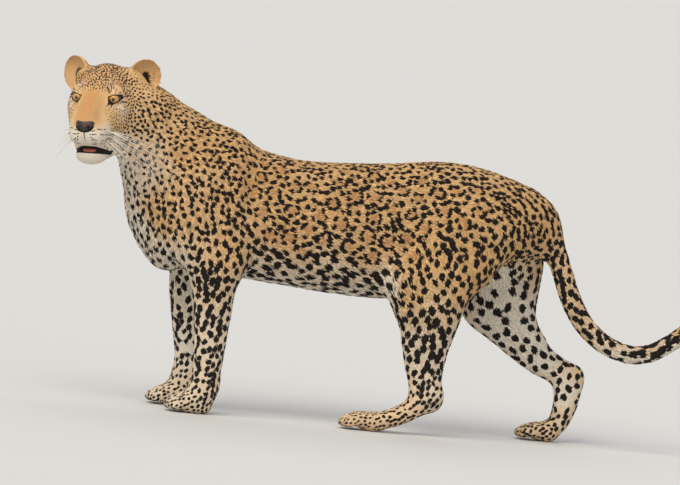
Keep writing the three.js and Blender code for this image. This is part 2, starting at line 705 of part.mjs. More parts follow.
// Tail, in three lengths
const tailPart = (index) => {
  const [a, b] = [vec(tailLine[index]), vec(tailLine[index + 1])];
  return plane(b.sub(a).toArray(), tailLine[index].slice(0, 3));
};
{
  const whole = wrapped([...trunk, ...tail], [200, -90, 180], [880, 70, 640], step.tail, 0.4);
  const firstEnd = tailPart(4), secondEnd = tailPart(7);
  const stub = trim(whole, tailCut);
  add("tail_root", trim(stub, [flipped(firstEnd)]), materials.coat);
  add("tail_middle", trim(trim(stub, [firstEnd], gap), [flipped(secondEnd)]), materials.coat);
  add("tail_end", trim(stub, [secondEnd], gap), materials.coat);
}

// The head: one wrapped surface, parted into skull and lower jaw along the line of the mouth.
const eyeAt = (side) => onHead(-6, side * (eyeSpacing / 2), 0);
function eyeball(side, radius) {
  const geometry = new THREE.SphereGeometry(radius, 12, 9);
  geometry.scale(headSize, headSize, headSize).translate(...eyeAt(side));
  return solid(geometry);
}

// The opening between the lids, an almond that slants up to its outer corner.
function lidOpening(side) {
  const almond = new THREE.Shape();
  const half = 14.5, rise = 8.2, drop = 7.4;
  almond.moveTo(-half, -3);
  almond.quadraticCurveTo(-1, rise * 2 - 1, half, 2);
  almond.quadraticCurveTo(1, -drop * 2, -half, -3);
  const geometry = new THREE.ExtrudeGeometry(almond, { depth: 40, bevelEnabled: false, curveSegments: 8 });
  const outward = THREE.MathUtils.degToRad(15);
  const look = vec(headWay(Math.cos(outward), side * Math.sin(outward), 0.05)).normalize();
  const over = vec(headWay(0, 0, 1)).addScaledVector(look, -vec(headWay(0, 0, 1)).dot(look)).normalize();
  const across = vec(headWay(-Math.sin(outward) * 1, side * Math.cos(outward), 0));
  across.addScaledVector(look, -across.dot(look)).normalize();
  const frame = new THREE.Matrix4().makeBasis(across, over, look).setPosition(...eyeAt(side));
  geometry.applyMatrix4(frame);
  if (frame.determinant() < 0) {
    const { array } = geometry.attributes.position;
    for (let i = 0; i < array.length; i += 9)
      for (let c = 0; c < 3; c++) [array[i + c], array[i + 3 + c]] = [array[i + 3 + c], array[i + c]];
  }
  return solid(geometry);
}

// The leather of the nose: broad above, drawn to a point at the groove of the upper lip.
function ball(at, radii, grow = 0, shape = () => {}) {
  const geometry = new THREE.SphereGeometry(1, 12, 9);
  geometry.scale(...radii.map((radius) => radius + grow / headSize));
  shape(geometry.attributes.position);
  geometry.applyMatrix4(new THREE.Matrix4().makeTranslation(...at));
  return solid(geometry.applyMatrix4(headFrame));
}
const noseLeather = (grow) => ball([76, 0, -40], [14, 21.5, 14], grow, (points) => {
  for (let i = 0; i < points.count; i++) {
    const below = THREE.MathUtils.clamp((3 - points.getZ(i)) / 15, 0, 1);
    points.setY(i, points.getY(i) * (1 - 0.62 * below));
  }
});
const nostril = (side) => ball([89, side * 9.4, -42], [8, 3.8, 3.2]);
const tongue = (grow) => ball([36, 0, -97], [20, 19, 5], grow);

const mouthCorner = [22, 0, -103];
const upperLip = plane(headWay(0.46, 0, -1), onHead(...mouthCorner));
const lowerLip = plane(headWay(0.24, 0, -1), onHead(...mouthCorner));
const jawBack = plane(headWay(1, 0, 0.62), onHead(mouthCorner[0] - 50, 0, mouthCorner[2]));
{
  const headForms = [...skull, ...jawBone, ...lids, ...throat];
  const reach = 180;
  const middle = onHead(-40, 0, -30);
  const low = middle.map((c) => c - reach), high = middle.map((c) => c + reach);
  const whole = trim(wrapped(headForms, low, high, step.head, 0.31), [nape]);
  const jawSpace = region([lowerLip, jawBack]);
  const jaw = whole.intersect(jawSpace);
  let skullBody = whole.subtract(region([lowerLip, jawBack], -gap)).subtract(region([upperLip, jawBack,
    plane(headWay(1, 0, 0), onHead(...mouthCorner))]));
  for (const side of [left, right]) {
    skullBody = skullBody.subtract(eyeball(side, eyeRadius + gap)).subtract(lidOpening(side));
    add(side === left ? "eye_right" : "eye_left", eyeball(side, eyeRadius), materials.eye);
  }
  skullBody = skullBody.subtract(noseLeather(gap)).subtract(tongue(gap));
  add("head", skullBody, materials.coat);
  add("nose", noseLeather(0).subtract(nostril(left)).subtract(nostril(right)), materials.nose);
  add("lower_jaw", jaw.subtract(tongue(gap)), materials.coat);
  add("tongue", tongue(0), materials.mouth);

  // Ears: round cups that open forwards and outwards
  for (const side of [left, right]) {
    const outward = THREE.MathUtils.degToRad(28);
    const look = vec(headWay(Math.cos(outward), side * Math.sin(outward), 0.12)).normalize();
    const rise = vec(headWay(-0.3, side * 0.42, 0.86));
    rise.addScaledVector(look, -rise.dot(look)).normalize();
    const across = rise.clone().cross(look);
    const frame = new THREE.Matrix4().makeBasis(across, rise, look);
    frame.setPosition(...onHead(-104, side * 74, 26));
    const shell = new THREE.SphereGeometry(1, 16, 12).scale(42, 46, 26).applyMatrix4(frame);
    const cup = new THREE.SphereGeometry(1, 16, 12).scale(36.5, 41.5, 28);
    cup.translate(0, 2, 13).applyMatrix4(frame);
    const away = rise.clone().multiplyScalar(gap * 2).toArray();
    const ear = solid(shell).subtract(solid(cup)).subtract(skullBody).subtract(skullBody.translate(away));
    add(side === left ? "ear_right" : "ear_left", ear, materials.ear);
  }
}

// The part's origin is on the floor, under the middle of its outline.
const outline = new THREE.Box3().setFromObject(leopard);
const centre = outline.getCenter(new THREE.Vector3());
leopard.position.set(-centre.x, -centre.y, -outline.min.z);

export default leopard;
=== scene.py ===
import math
from itertools import product

import bmesh
import bpy
import numpy as np
from mathutils import Matrix, Vector, kdtree


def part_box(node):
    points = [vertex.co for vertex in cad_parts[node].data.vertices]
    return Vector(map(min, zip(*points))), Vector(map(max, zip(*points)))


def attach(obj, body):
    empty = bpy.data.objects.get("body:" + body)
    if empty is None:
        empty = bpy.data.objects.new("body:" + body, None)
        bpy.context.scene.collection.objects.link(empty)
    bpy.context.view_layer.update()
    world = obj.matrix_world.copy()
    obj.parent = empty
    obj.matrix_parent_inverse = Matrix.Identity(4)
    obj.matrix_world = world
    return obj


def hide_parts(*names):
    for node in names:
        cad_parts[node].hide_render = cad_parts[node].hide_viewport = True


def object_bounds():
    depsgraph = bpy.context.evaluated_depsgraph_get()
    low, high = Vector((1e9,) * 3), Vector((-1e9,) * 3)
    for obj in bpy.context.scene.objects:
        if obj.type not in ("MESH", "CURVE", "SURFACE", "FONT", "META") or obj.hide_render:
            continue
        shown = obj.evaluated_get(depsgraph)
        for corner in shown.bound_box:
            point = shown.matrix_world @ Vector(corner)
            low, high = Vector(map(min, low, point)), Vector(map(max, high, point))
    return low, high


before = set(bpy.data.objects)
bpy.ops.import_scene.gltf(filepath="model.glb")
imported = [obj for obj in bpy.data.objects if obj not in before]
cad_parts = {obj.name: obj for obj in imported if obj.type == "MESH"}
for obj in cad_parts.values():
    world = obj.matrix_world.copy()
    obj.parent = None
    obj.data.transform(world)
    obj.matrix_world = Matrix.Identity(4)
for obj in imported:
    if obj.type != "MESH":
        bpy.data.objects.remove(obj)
solids_box = [list(corner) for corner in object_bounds()]
bpy.ops.object.select_all(action="DESELECT")


# The leopard's own places. The body faces -X and its left side is -Y, the side that the picture shows.
# The head is turned to the left, dipped and tipped, so it has ways of its own, in millimetres before the
# head's two scales.
head_turn = math.radians(65)
head_dip = math.radians(10)
head_tip = math.radians(4)
head_size = 1.12
head_tall = 1.2
head_place = Vector((-785, -104, 721))
eye_behind = 6

nose_way = Vector((
    -math.cos(head_turn) * math.cos(head_dip),
    -math.sin(head_turn) * math.cos(head_dip),
    -math.sin(head_dip),
))
left_way = Matrix.Rotation(head_tip, 3, nose_way) @ Vector((math.sin(head_turn), -math.cos(head_turn), 0))
crown_way = nose_way.cross(left_way)


def middle(node):
    low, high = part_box(node)
    return (low + high) / 2


between_eyes = (middle("eye_left") + middle("eye_right")) / 2 + nose_way * eye_behind * head_size / 1000
body_origin = between_eyes - head_place / 1000


def on_body(x, y, z):
    return body_origin + Vector((x, y, z)) / 1000


def on_head(forward, left, up):
    across = (nose_way * forward + left_way * left) * head_size
    return between_eyes + (across + crown_way * up * head_tall) / 1000


# The view: a long lens a little in front of the near side, looking down by a few degrees and tipped as
# the picture is. It is far off, so that near and far legs keep the same scale.
photo_width_px = 680
photo_height_px = 485
px_per_mm = 0.42
body_origin_px = Vector((380, 428.3))
view_turn = math.radians(-10)
view_rise = math.radians(4)
view_tip = math.radians(6.5)
view_distance = 30

view_back = Vector((
    math.sin(view_turn) * math.cos(view_rise),
    -math.cos(view_turn) * math.cos(view_rise),
    math.sin(view_rise),
))
level_right = Vector((math.cos(view_turn), math.sin(view_turn), 0))
level_up = view_back.cross(level_right)
view_right = level_right * math.cos(view_tip) + level_up * math.sin(view_tip)
view_up = level_up * math.cos(view_tip) - level_right * math.sin(view_tip)
metres_per_px = 1 / px_per_mm / 1000
view_centre = (
    body_origin
    + view_right * (photo_width_px / 2 - body_origin_px.x) * metres_per_px
    - view_up * (photo_height_px / 2 - body_origin_px.y) * metres_per_px
)
bpy.ops.object.camera_add()
camera = bpy.context.object
camera.name = "view"
camera.data.sensor_width = 36
camera.data.lens = 36 * view_distance / (photo_width_px * metres_per_px)
camera.data.clip_end = 400
camera.matrix_world = Matrix.Translation(view_centre + view_back * view_distance) @ (
    Matrix((view_right, view_up, view_back)).transposed().to_4x4()
)
bpy.context.scene.camera = camera


# The studio: a pale matt floor that sweeps up at its far rim, a broad soft lamp above the near side, a
# weaker one on the tail side, one behind, and a pale sky that fills the shade.
floor_half = 150
flat_reach = 80
rim_rise = 14

bpy.ops.mesh.primitive_grid_add(x_subdivisions=96, y_subdivisions=96, size=floor_half * 2)
floor = bpy.context.object
floor.name = "floor"
for corner in floor.data.vertices:
    share = min(1, max(0, (corner.co.length - flat_reach) / (floor_half - flat_reach)))
    corner.co.z = rim_rise * share * share * (3 - 2 * share)
bpy.ops.object.shade_smooth()
floor_paint = bpy.data.materials.new("floor_paint")
floor_paint.use_nodes = True
floor_paint.node_tree.nodes["Principled BSDF"].inputs["Base Color"].default_value = (0.64, 0.63, 0.61, 1)
floor_paint.node_tree.nodes["Principled BSDF"].inputs["Roughness"].default_value = 0.9
floor.data.materials.append(floor_paint)


def soft_lamp(name, turn, rise, power, softness, colour):
    bpy.ops.object.light_add(type="SUN", location=(0, 0, 3))
    lamp = bpy.context.object
    lamp.name = name
    lamp.data.energy = power
    lamp.data.angle = math.radians(softness)
    lamp.data.color = colour
    lamp.rotation_euler = (math.radians(90 - rise), 0, math.radians(turn))
    return lamp


soft_lamp("key_lamp", -42, 48, 2.35, 50, (1, 0.94, 0.86))
soft_lamp("fill_lamp", 40, 25, 0.45, 80, (0.95, 0.97, 1))
soft_lamp("rim_lamp", 165, 50, 0.7, 50, (0.97, 0.98, 1))
sky = bpy.data.worlds.new("sky")
sky.use_nodes = True
sky.node_tree.nodes["Background"].inputs["Color"].default_value = (0.86, 0.9, 0.95, 1)
sky.node_tree.nodes["Background"].inputs["Strength"].default_value = 0.42
bpy.context.scene.world = sky
bpy.context.scene.view_settings.view_transform = "Standard"


# The skin: one surface over all the flesh, from the lips to the tip of the tail. It is drawn tight over
# the frame's solids, the head in a finer net than the body, and the two nets are joined round the neck.
body_nodes = [
    "torso", "neck", "tail_root", "tail_middle", "tail_end",
    "foreleg_left", "foreleg_right", "forepaw_left", "forepaw_right",
    "hindleg_left", "hindleg_right", "hindfoot_left", "hindfoot_right",
]
head_nodes = ["head", "lower_jaw", "ear_left", "ear_right"]
filled_nodes = ["nose", "eye_left", "eye_right"]
body_net = 0.0076
head_net = 0.0028
body_smoothing = 12
head_smoothing = 20
throat_cut = on_body(-640, -40, 660)
throat_way = (on_body(-730, -70, 740) - on_body(-560, -5, 590)).normalized()


def net_over(name, nodes, net, smoothing):
    bpy.ops.object.select_all(action="DESELECT")
    for node in nodes:
        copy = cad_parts[node].copy()
        copy.data = copy.data.copy()
        copy.parent = None
        for key in list(copy.keys()):
            del copy[key]
        bpy.context.scene.collection.objects.link(copy)
        copy.select_set(True)
        bpy.context.view_layer.objects.active = copy
    if len(nodes) > 1:
        bpy.ops.object.join()
    cover = bpy.context.object
    cover.name = name
    cover.data.materials.clear()
    bpy.ops.object.mode_set(mode="EDIT")
    bpy.ops.mesh.select_all(action="SELECT")
    bpy.ops.mesh.remove_doubles(threshold=0.00002)
    bpy.ops.object.mode_set(mode="OBJECT")
    bpy.ops.object.modifier_add(type="REMESH")
    cover.modifiers[-1].mode = "VOXEL"
    cover.modifiers[-1].voxel_size = net
    bpy.ops.object.modifier_apply(modifier=cover.modifiers[-1].name)
    bpy.ops.object.modifier_add(type="SMOOTH")
    cover.modifiers[-1].factor = 0.5
    cover.modifiers[-1].iterations = smoothing
    bpy.ops.object.modifier_apply(modifier=cover.modifiers[-1].name)
    return cover


def cut_at(cover, place, way):
    bpy.context.view_layer.objects.active = cover
    bpy.ops.object.mode_set(mode="EDIT")
    bpy.ops.mesh.select_all(action="SELECT")
    bpy.ops.mesh.bisect(plane_co=place, plane_no=way, clear_outer=True)
    bpy.ops.mesh.select_all(action="DESELECT")
    bpy.ops.object.mode_set(mode="OBJECT")
    cover.select_set(False)


body_cover = net_over("skin", body_nodes + head_nodes + filled_nodes, body_net, body_smoothing)
cut_at(body_cover, throat_cut, throat_way)
head_cover = net_over("head_cover", head_nodes + filled_nodes + ["neck"], head_net, head_smoothing)
cut_at(head_cover, throat_cut + throat_way * 0.004, -throat_way)

body_cover.select_set(True)
head_cover.select_set(True)
bpy.context.view_layer.objects.active = body_cover
bpy.ops.object.join()
skin = bpy.context.object
bpy.ops.object.mode_set(mode="EDIT")
bpy.ops.mesh.select_mode(type="EDGE")
bpy.ops.mesh.select_all(action="DESELECT")
bpy.ops.mesh.select_non_manifold(extend=False, use_wire=False, use_boundary=True,
                                 use_multi_face=False, use_non_contiguous=False, use_verts=False)
bpy.ops.mesh.bridge_edge_loops()
bpy.ops.object.mode_set(mode="OBJECT")


def read_out(items, field, wide, kind=float):
    flat = np.empty(len(items) * wide, kind)
    items.foreach_get(field, flat)
    return flat.reshape(-1, wide)


def places(piece):
    return read_out(piece.data.vertices, "co", 3)


def outwards(piece):
    return read_out(piece.data.vertex_normals, "vector", 3)


def put_at(piece, at):
    piece.data.vertices.foreach_set("co", at.ravel())
    piece.data.update()


def body_mm(at):
    return (at - np.array(body_origin)) * 1000


def head_mm(at):
    ways = np.array([nose_way, left_way, crown_way])
    return (at - np.array(between_eyes)) @ ways.T * 1000 / np.array([head_size, head_size, head_tall])


def eased(value, low, high):
    share = np.clip((value - low) / (high - low), 0, 1)
    return share * share * (3 - 2 * share)


# The net is made finer where the small forms are: the toes, the muzzle and mouth, and most of all the lids.
eye_apart = 38.5
eye_radius = 14.5 * head_size / 1000


def eye_middle(side):
    return on_head(-eye_behind, side * eye_apart, 0)


def finer(wanted):
    net = bmesh.new()
    net.from_mesh(skin.data)
    net.verts.ensure_lookup_table()
    keep = wanted(places(skin))
    edges = [edge for edge in net.edges if keep[edge.verts[0].index] and keep[edge.verts[1].index]]
    bmesh.ops.subdivide_edges(net, edges=edges, cuts=1, use_grid_fill=True)
    net.to_mesh(skin.data)
    net.free()
    skin.data.update()


def near_eyes(at, reach):
    away = [np.linalg.norm(at - np.array(eye_middle(side)), axis=1) for side in (1, -1)]
    return np.minimum(*away) < reach


finer(lambda at: (body_mm(at)[:, 2] < 56) & (body_mm(at)[:, 2] > 4))
finer(lambda at: (head_mm(at)[:, 0] > 30) & (head_mm(at)[:, 2] > -122) & (head_mm(at)[:, 2] < 0))
finer(lambda at: near_eyes(at, 0.028))
finer(lambda at: near_eyes(at, 0.022))


# The forms that lie under the coat: lids round the eyes, the groove of the lip, the pads of the whiskers,
# the edge of the shoulder blade, the ribs, the fold of the flank, the tendons of the hocks and the toes.
coat_depth = 2.6
face_coat_depth = 0.9
lid_half_width = 14.8
lid_outward = math.radians(15)
toe_apart = 19


def line_share(at, line):
    best = np.full(len(at), 1e9)
    share = np.zeros(len(at))
    corners = [np.array(corner, float) for corner in line]
    for i, (start, end) in enumerate(zip(corners, corners[1:])):
        along = end - start
        part = np.clip((at - start) @ along / (along @ along), 0, 1)
        away = np.linalg.norm(at - start - part[:, None] * along, axis=1)
        nearer = away < best
        best[nearer] = away[nearer]
        share[nearer] = (i + part[nearer]) / (len(line) - 1)
    return best, share


def pressed(at, out, line, width, depth, where=body_mm):
    away, share = line_share(where(at), line)
    taper = np.sqrt(np.clip(np.sin(np.pi * np.clip(share, 0.04, 0.96)), 0, 1))
    return at + out * (np.exp(-((away / width) ** 2)) * taper * depth / 1000)[:, None]


def lid_line(across):
    share = np.clip(across / lid_half_width, -1, 1)
    arch = np.sqrt(np.clip(1 - share * share, 0, 1))
    slant = 2.2 * share
    return slant + 7.0 * arch ** 1.1, slant - 6.4 * arch ** 1.2


def eye_frame(side):
    look = nose_way * math.cos(lid_outward) + left_way * side * math.sin(lid_outward) + crown_way * 0.05
    look = look.normalized()
    over = (crown_way - look * crown_way.dot(look)).normalized()
    across = (left_way * side * math.cos(lid_outward) - nose_way * math.sin(lid_outward))
    across = (across - look * across.dot(look)).normalized()
    return np.array([across, over, look])


def outside_lids(at, side):
    local = (at - np.array(eye_middle(side))) @ eye_frame(side).T * 1000 / head_size
    reach = np.linalg.norm(local, axis=1)
    on_ball = local / np.maximum(reach, 1e-6)[:, None] * eye_radius * 1000 / head_size
    upper, lower = lid_line(on_ball[:, 0])
    beyond = np.maximum(on_ball[:, 1] - upper, lower - on_ball[:, 1])
    past_end = np.abs(on_ball[:, 0]) - lid_half_width
    past_corner = np.hypot(np.maximum(past_end, 0), np.maximum(beyond, 0))
    beyond = np.where(np.abs(on_ball[:, 0]) > lid_half_width, past_corner, beyond)
    return beyond, reach, local


at = places(skin)
out = outwards(skin)
head_at = head_mm(at)
on_the_face = eased(head_at[:, 0], -120, -60) * (np.abs(head_at).max(axis=1) < 190)
sunk = coat_depth + (face_coat_depth - coat_depth) * on_the_face
sunk = sunk * eased(body_mm(at)[:, 2], 2, 30)
at = at - out * (sunk / 1000)[:, None]

for side in (1, -1):
    at = pressed(at, out, [(0, side * 25, -6), (12, side * 23, -14), (26, side * 22, -26)], 4, -1.6, head_mm)
    at = pressed(at, out, [(-14, side * 26, 14), (-4, side * 38, 18), (-22, side * 54, 10)], 4, 1.4, head_mm)
    at = pressed(at, out, [(40, side * 24, -60), (66, side * 20, -62)], 14, 3.0, head_mm)
    at = pressed(at, out, [(8, side * 44, -40), (20, side * 44, -62), (14, side * 44, -86)], 8, -2.4, head_mm)
    at = pressed(at, out, [(30, side * 14, -14), (62, side * 12, -26)], 6, -1.0, head_mm)
at = pressed(at, out, [(96, 0, -52), (90, 0, -66), (80, 0, -80)], 2.6, -3.0, head_mm)

for side in (-1, 1):
    at = pressed(at, out, [(-394, side * 92, 610), (-392, side * 112, 520), (-398, side * 112, 410)], 20, -6)
    at = pressed(at, out, [(-470, side * 96, 600), (-520, side * 110, 500)], 26, 4)
    at = pressed(at, out, [(-436, side * 105, 400), (-420, side * 104, 350)], 20, 4)
    at = pressed(at, out, [(-470, side * 112, 330), (-474, side * 100, 220)], 12, -2.5)
    for rib in range(6):
        rib_x = -330 + rib * 44
        at = pressed(at, out, [(rib_x, side * 112, 540), (rib_x + 26, side * 118, 400)], 10, 1.4)
at = pressed(at, out, [(20, -100, 500), (-6, -104, 430), (14, -96, 350)], 16, -6)
at = pressed(at, out, [(180, -104, 330), (140, -110, 420), (170, -104, 500)], 18, -3.5)
at = pressed(at, out, [(104, -112, 250), (98, -108, 180), (92, -108, 128)], 9, -4)
at = pressed(at, out, [(104, -72, 250), (98, -74, 180), (92, -76, 128)], 9, -4)
at = pressed(at, out, [(370, 120, 250), (410, 118, 210), (448, 114, 184)], 9, -4)
at = pressed(at, out, [(370, 74, 250), (410, 74, 210), (448, 76, 184)], 9, -4)

toe_rows = [(-448, -83, 96), (-466, 83, 96), (-28, -95, 94), (428, 95, 88)]
for ankle, middle_y, reach in toe_rows:
    for gap_place in (-1, 0, 1):
        gap_y = middle_y + gap_place * toe_apart
        groove = [(ankle - reach * 0.5, gap_y, 46), (ankle - reach * 0.8, gap_y, 34),
                  (ankle - reach * 1.04, gap_y, 14)]
        at = pressed(at, out, groove, 4.5, -5)

for side in (1, -1):
    beyond, reach, local = outside_lids(at, side)
    ball = eye_radius * 1000 / head_size
    lid = ball * 0.82 + (ball * 0.18 + 1.2) * eased(beyond, -0.7, 0.5) + 0.9 * eased(beyond, 0.3, 2.2)
    lid = lid - 0.8 * eased(beyond, 3.0, 6.5)
    hold = (1 - eased(beyond, 4.5, 11)) * (local[:, 2] > 0) * (reach < 30)
    wanted = local * ((reach + (lid - reach) * hold) / np.maximum(reach, 1e-6))[:, None]
    moved = np.array(eye_middle(side)) + wanted @ eye_frame(side) * head_size / 1000
    at = np.where((hold > 0)[:, None], moved, at)
at[:, 2] = np.maximum(at[:, 2], 0.0004)
put_at(skin, at)


# The lie of the coat: how its hair runs from the nose back over the head, down the neck and legs and
# along the body and tail, how long it is, and how pale and how closely spotted each part is.
# Each row is a place in millimetres, the way the hair runs, then hair length, spot half width, spot
# spacing, paleness, and how far the spots gather in rings. The rows of the head and body are repeated on
# the far side. Those of the legs and tail are given one by one.
head_coat = [
    ((62, 0, -20), (-1, 0, 0.3), 2.4, 0, 9, 0, 0),
    ((64, 18, -34), (-1, 0.2, 0.2), 2.4, 0, 9, 0.12, 0),
    ((28, 0, 12), (-1, 0, 0.3), 2.8, 0, 9, 0, 0),
    ((-10, 0, 34), (-0.9, 0, 0.6), 3.6, 2.0, 6.2, 0, 0),
    ((8, 0, 24), (-0.9, 0, 0.6), 3, 1.8, 6, 0, 0),
    ((2, 14, 24), (-0.9, 0, 0.6), 3, 1.8, 6, 0.05, 0),
    ((-50, 24, 56), (-1, 0, 0.3), 4.6, 2.2, 6.8, 0, 0),
    ((-100, 0, 66), (-1, 0, -0.2), 7, 2.6, 8, 0, 0),
    ((-60, 56, 34), (-1, 0.2, 0.2), 5, 2.3, 7.4, 0.05, 0),
    ((2, 30, 24), (-0.5, 0.3, 0.8), 3, 1.6, 6.2, 0.4, 0),
    ((6, 20, 6), (-0.8, 0.1, 0.6), 2.6, 0, 9, 0.05, 0),
    ((-4, 42, -20), (-0.8, 0.5, -0.3), 3, 1.2, 6.4, 0.55, 0),
    ((-34, 58, 4), (-0.9, 0.4, 0), 4.6, 2.2, 7.6, 0.15, 0),
    ((24, 32, -30), (-0.9, 0.4, -0.1), 2.8, 1.6, 6.8, 0.1, 0),
    ((16, 44, -50), (-0.9, 0.4, -0.2), 3.4, 2.1, 8.2, 0.22, 0),
    ((-30, 60, -44), (-0.9, 0.3, -0.4), 5, 2.6, 9, 0.2, 0),
    ((-84, 72, -30), (-0.9, 0.2, -0.5), 8, 3.2, 11, 0.12, 0),
    ((-40, 60, -84), (-0.8, 0.2, -0.6), 8, 3.2, 11.5, 0.35, 0),
    ((-90, 64, -90), (-0.8, 0.2, -0.6), 11, 3.6, 13, 0.3, 0),
    ((56, 30, -60), (-0.7, 0.6, -0.4), 2.8, 0, 9, 0.8, 0),
    ((80, 8, -66), (-0.3, 0.6, -0.7), 2.4, 0, 9, 0.9, 0),
    ((20, 44, -80), (-0.8, 0.3, -0.5), 4, 1.6, 10, 0.6, 0),
    ((50, 0, -114), (-0.3, 0, -0.9), 4, 0, 9, 1, 0),
    ((10, 20, -128), (-0.9, 0.1, -0.4), 8, 0, 9, 1, 0),
    ((-50, 20, -128), (-0.8, 0, -0.6), 13, 3, 15, 0.9, 0),
    ((-92, 92, 52), (-0.2, 0.3, 1), 2.8, 0, 9, 0.05, 0),
    ((-108, 70, 28), (-0.5, 0.3, 0.8), 2.8, 0, 9, 0.08, 0),
    ((-122, 60, 20), (-0.8, 0.3, -0.5), 5, 2.2, 9, 0.1, 0),
]
body_coat = [
    ((-655, -24, 776), (0.9, 0, -0.4), 12, 3.4, 12, 0.05, 0),
    ((-650, -92, 700), (0.75, 0, -0.65), 12, 4.0, 14, 0.14, 0),
    ((-672, -70, 610), (0.35, 0, -0.95), 14, 4.6, 17, 0.35, 0),
    ((-660, 0, 540), (0.15, 0, -1), 18, 4.8, 19, 0.75, 0),
    ((-630, -30, 430), (0.2, 0, -1), 20, 5.4, 21, 0.75, 0),
    ((-600, -85, 470), (0.4, 0, -0.9), 14, 5.2, 18, 0.15, 0),
    ((-540, -100, 620), (0.85, 0, -0.5), 12, 4.4, 15.5, 0.1, 0),
    ((-430, -10, 660), (1, 0, -0.25), 12, 4.2, 14, 0, 0),
    ((-530, -106, 500), (0.5, 0, -0.85), 12, 5.0, 17, 0.18, 0),
    ((-460, -112, 500), (0.5, 0, -0.85), 11, 5.3, 18, 0.12, 0),
    ((-440, -108, 390), (0.2, 0, -1), 10, 6.3, 18.5, 0.15, 0),
    ((-455, -112, 300), (0.1, 0, -1), 8, 6.6, 18.5, 0.38, 0),
    ((-447, -108, 190), (0.1, 0, -1), 6.5, 6.0, 17, 0.5, 0),
    ((-448, -108, 90), (0.05, 0, -1), 5, 4.8, 13.5, 0.5, 0),
    ((-500, -86, 40), (-0.8, 0, -0.5), 4, 2.8, 10, 0.5, 0),
    ((-450, -50, 300), (0.1, 0, -1), 8, 6.4, 24, 0.95, 0),
    ((-447, -50, 150), (0.1, 0, -1), 6, 5.4, 20, 0.9, 0),
    ((-560, -60, 330), (0.2, 0, -1), 14, 6, 23, 0.75, 0),
    ((-330, -112, 560), (1, 0, -0.2), 12, 5.2, 17.5, 0, 0.8),
    ((-300, -120, 450), (1, 0, -0.3), 13, 5.8, 19, 0.1, 1),
    ((-250, 0, 612), (1, 0, -0.05), 11, 4.4, 14.5, 0, 0.2),
    ((-140, -118, 530), (1, 0, -0.2), 13, 5.8, 18.5, 0, 1),
    ((-110, -122, 430), (1, 0, -0.25), 14, 6.2, 19.5, 0.14, 1),
    ((0, 0, 628), (1, 0, -0.05), 11, 4.4, 14.5, 0, 0.2),
    ((20, -112, 540), (1, 0, -0.2), 13, 5.8, 18.5, 0, 1),
    ((0, -112, 440), (0.9, 0, -0.4), 15, 6.2, 20, 0.16, 0.8),
    ((-330, -104, 355), (1, 0, -0.3), 17, 8, 23, 0.5, 0.3),
    ((-150, -106, 345), (0.95, 0, -0.4), 20, 8.4, 25, 0.55, 0.1),
    ((-40, -100, 346), (0.7, 0, -0.7), 24, 8.8, 27, 0.65, 0),
    ((-330, 0, 318), (1, 0, 0), 22, 7.5, 30, 1, 0),
    ((-120, 0, 310), (1, 0, 0), 24, 7.5, 30, 1, 0),
    ((10, -50, 350), (0.6, 0, -0.8), 17, 7.6, 28, 0.9, 0),
    ((130, -104, 560), (0.95, 0, -0.35), 12, 5.8, 18.5, 0, 0.6),
    ((230, -84, 580), (0.85, 0, -0.5), 12, 5.6, 18, 0, 0.3),
    ((200, 0, 640), (1, 0, -0.3), 11, 4.4, 14.5, 0, 0),
    ((296, -50, 560), (0.6, 0, -0.8), 12, 5.2, 17, 0.05, 0),
    ((110, -112, 470), (0.6, 0, -0.8), 12, 6.6, 20, 0.04, 0.3),
    ((210, -100, 450), (0.4, 0, -0.9), 12, 6.6, 20.5, 0.1, 0.1),
]
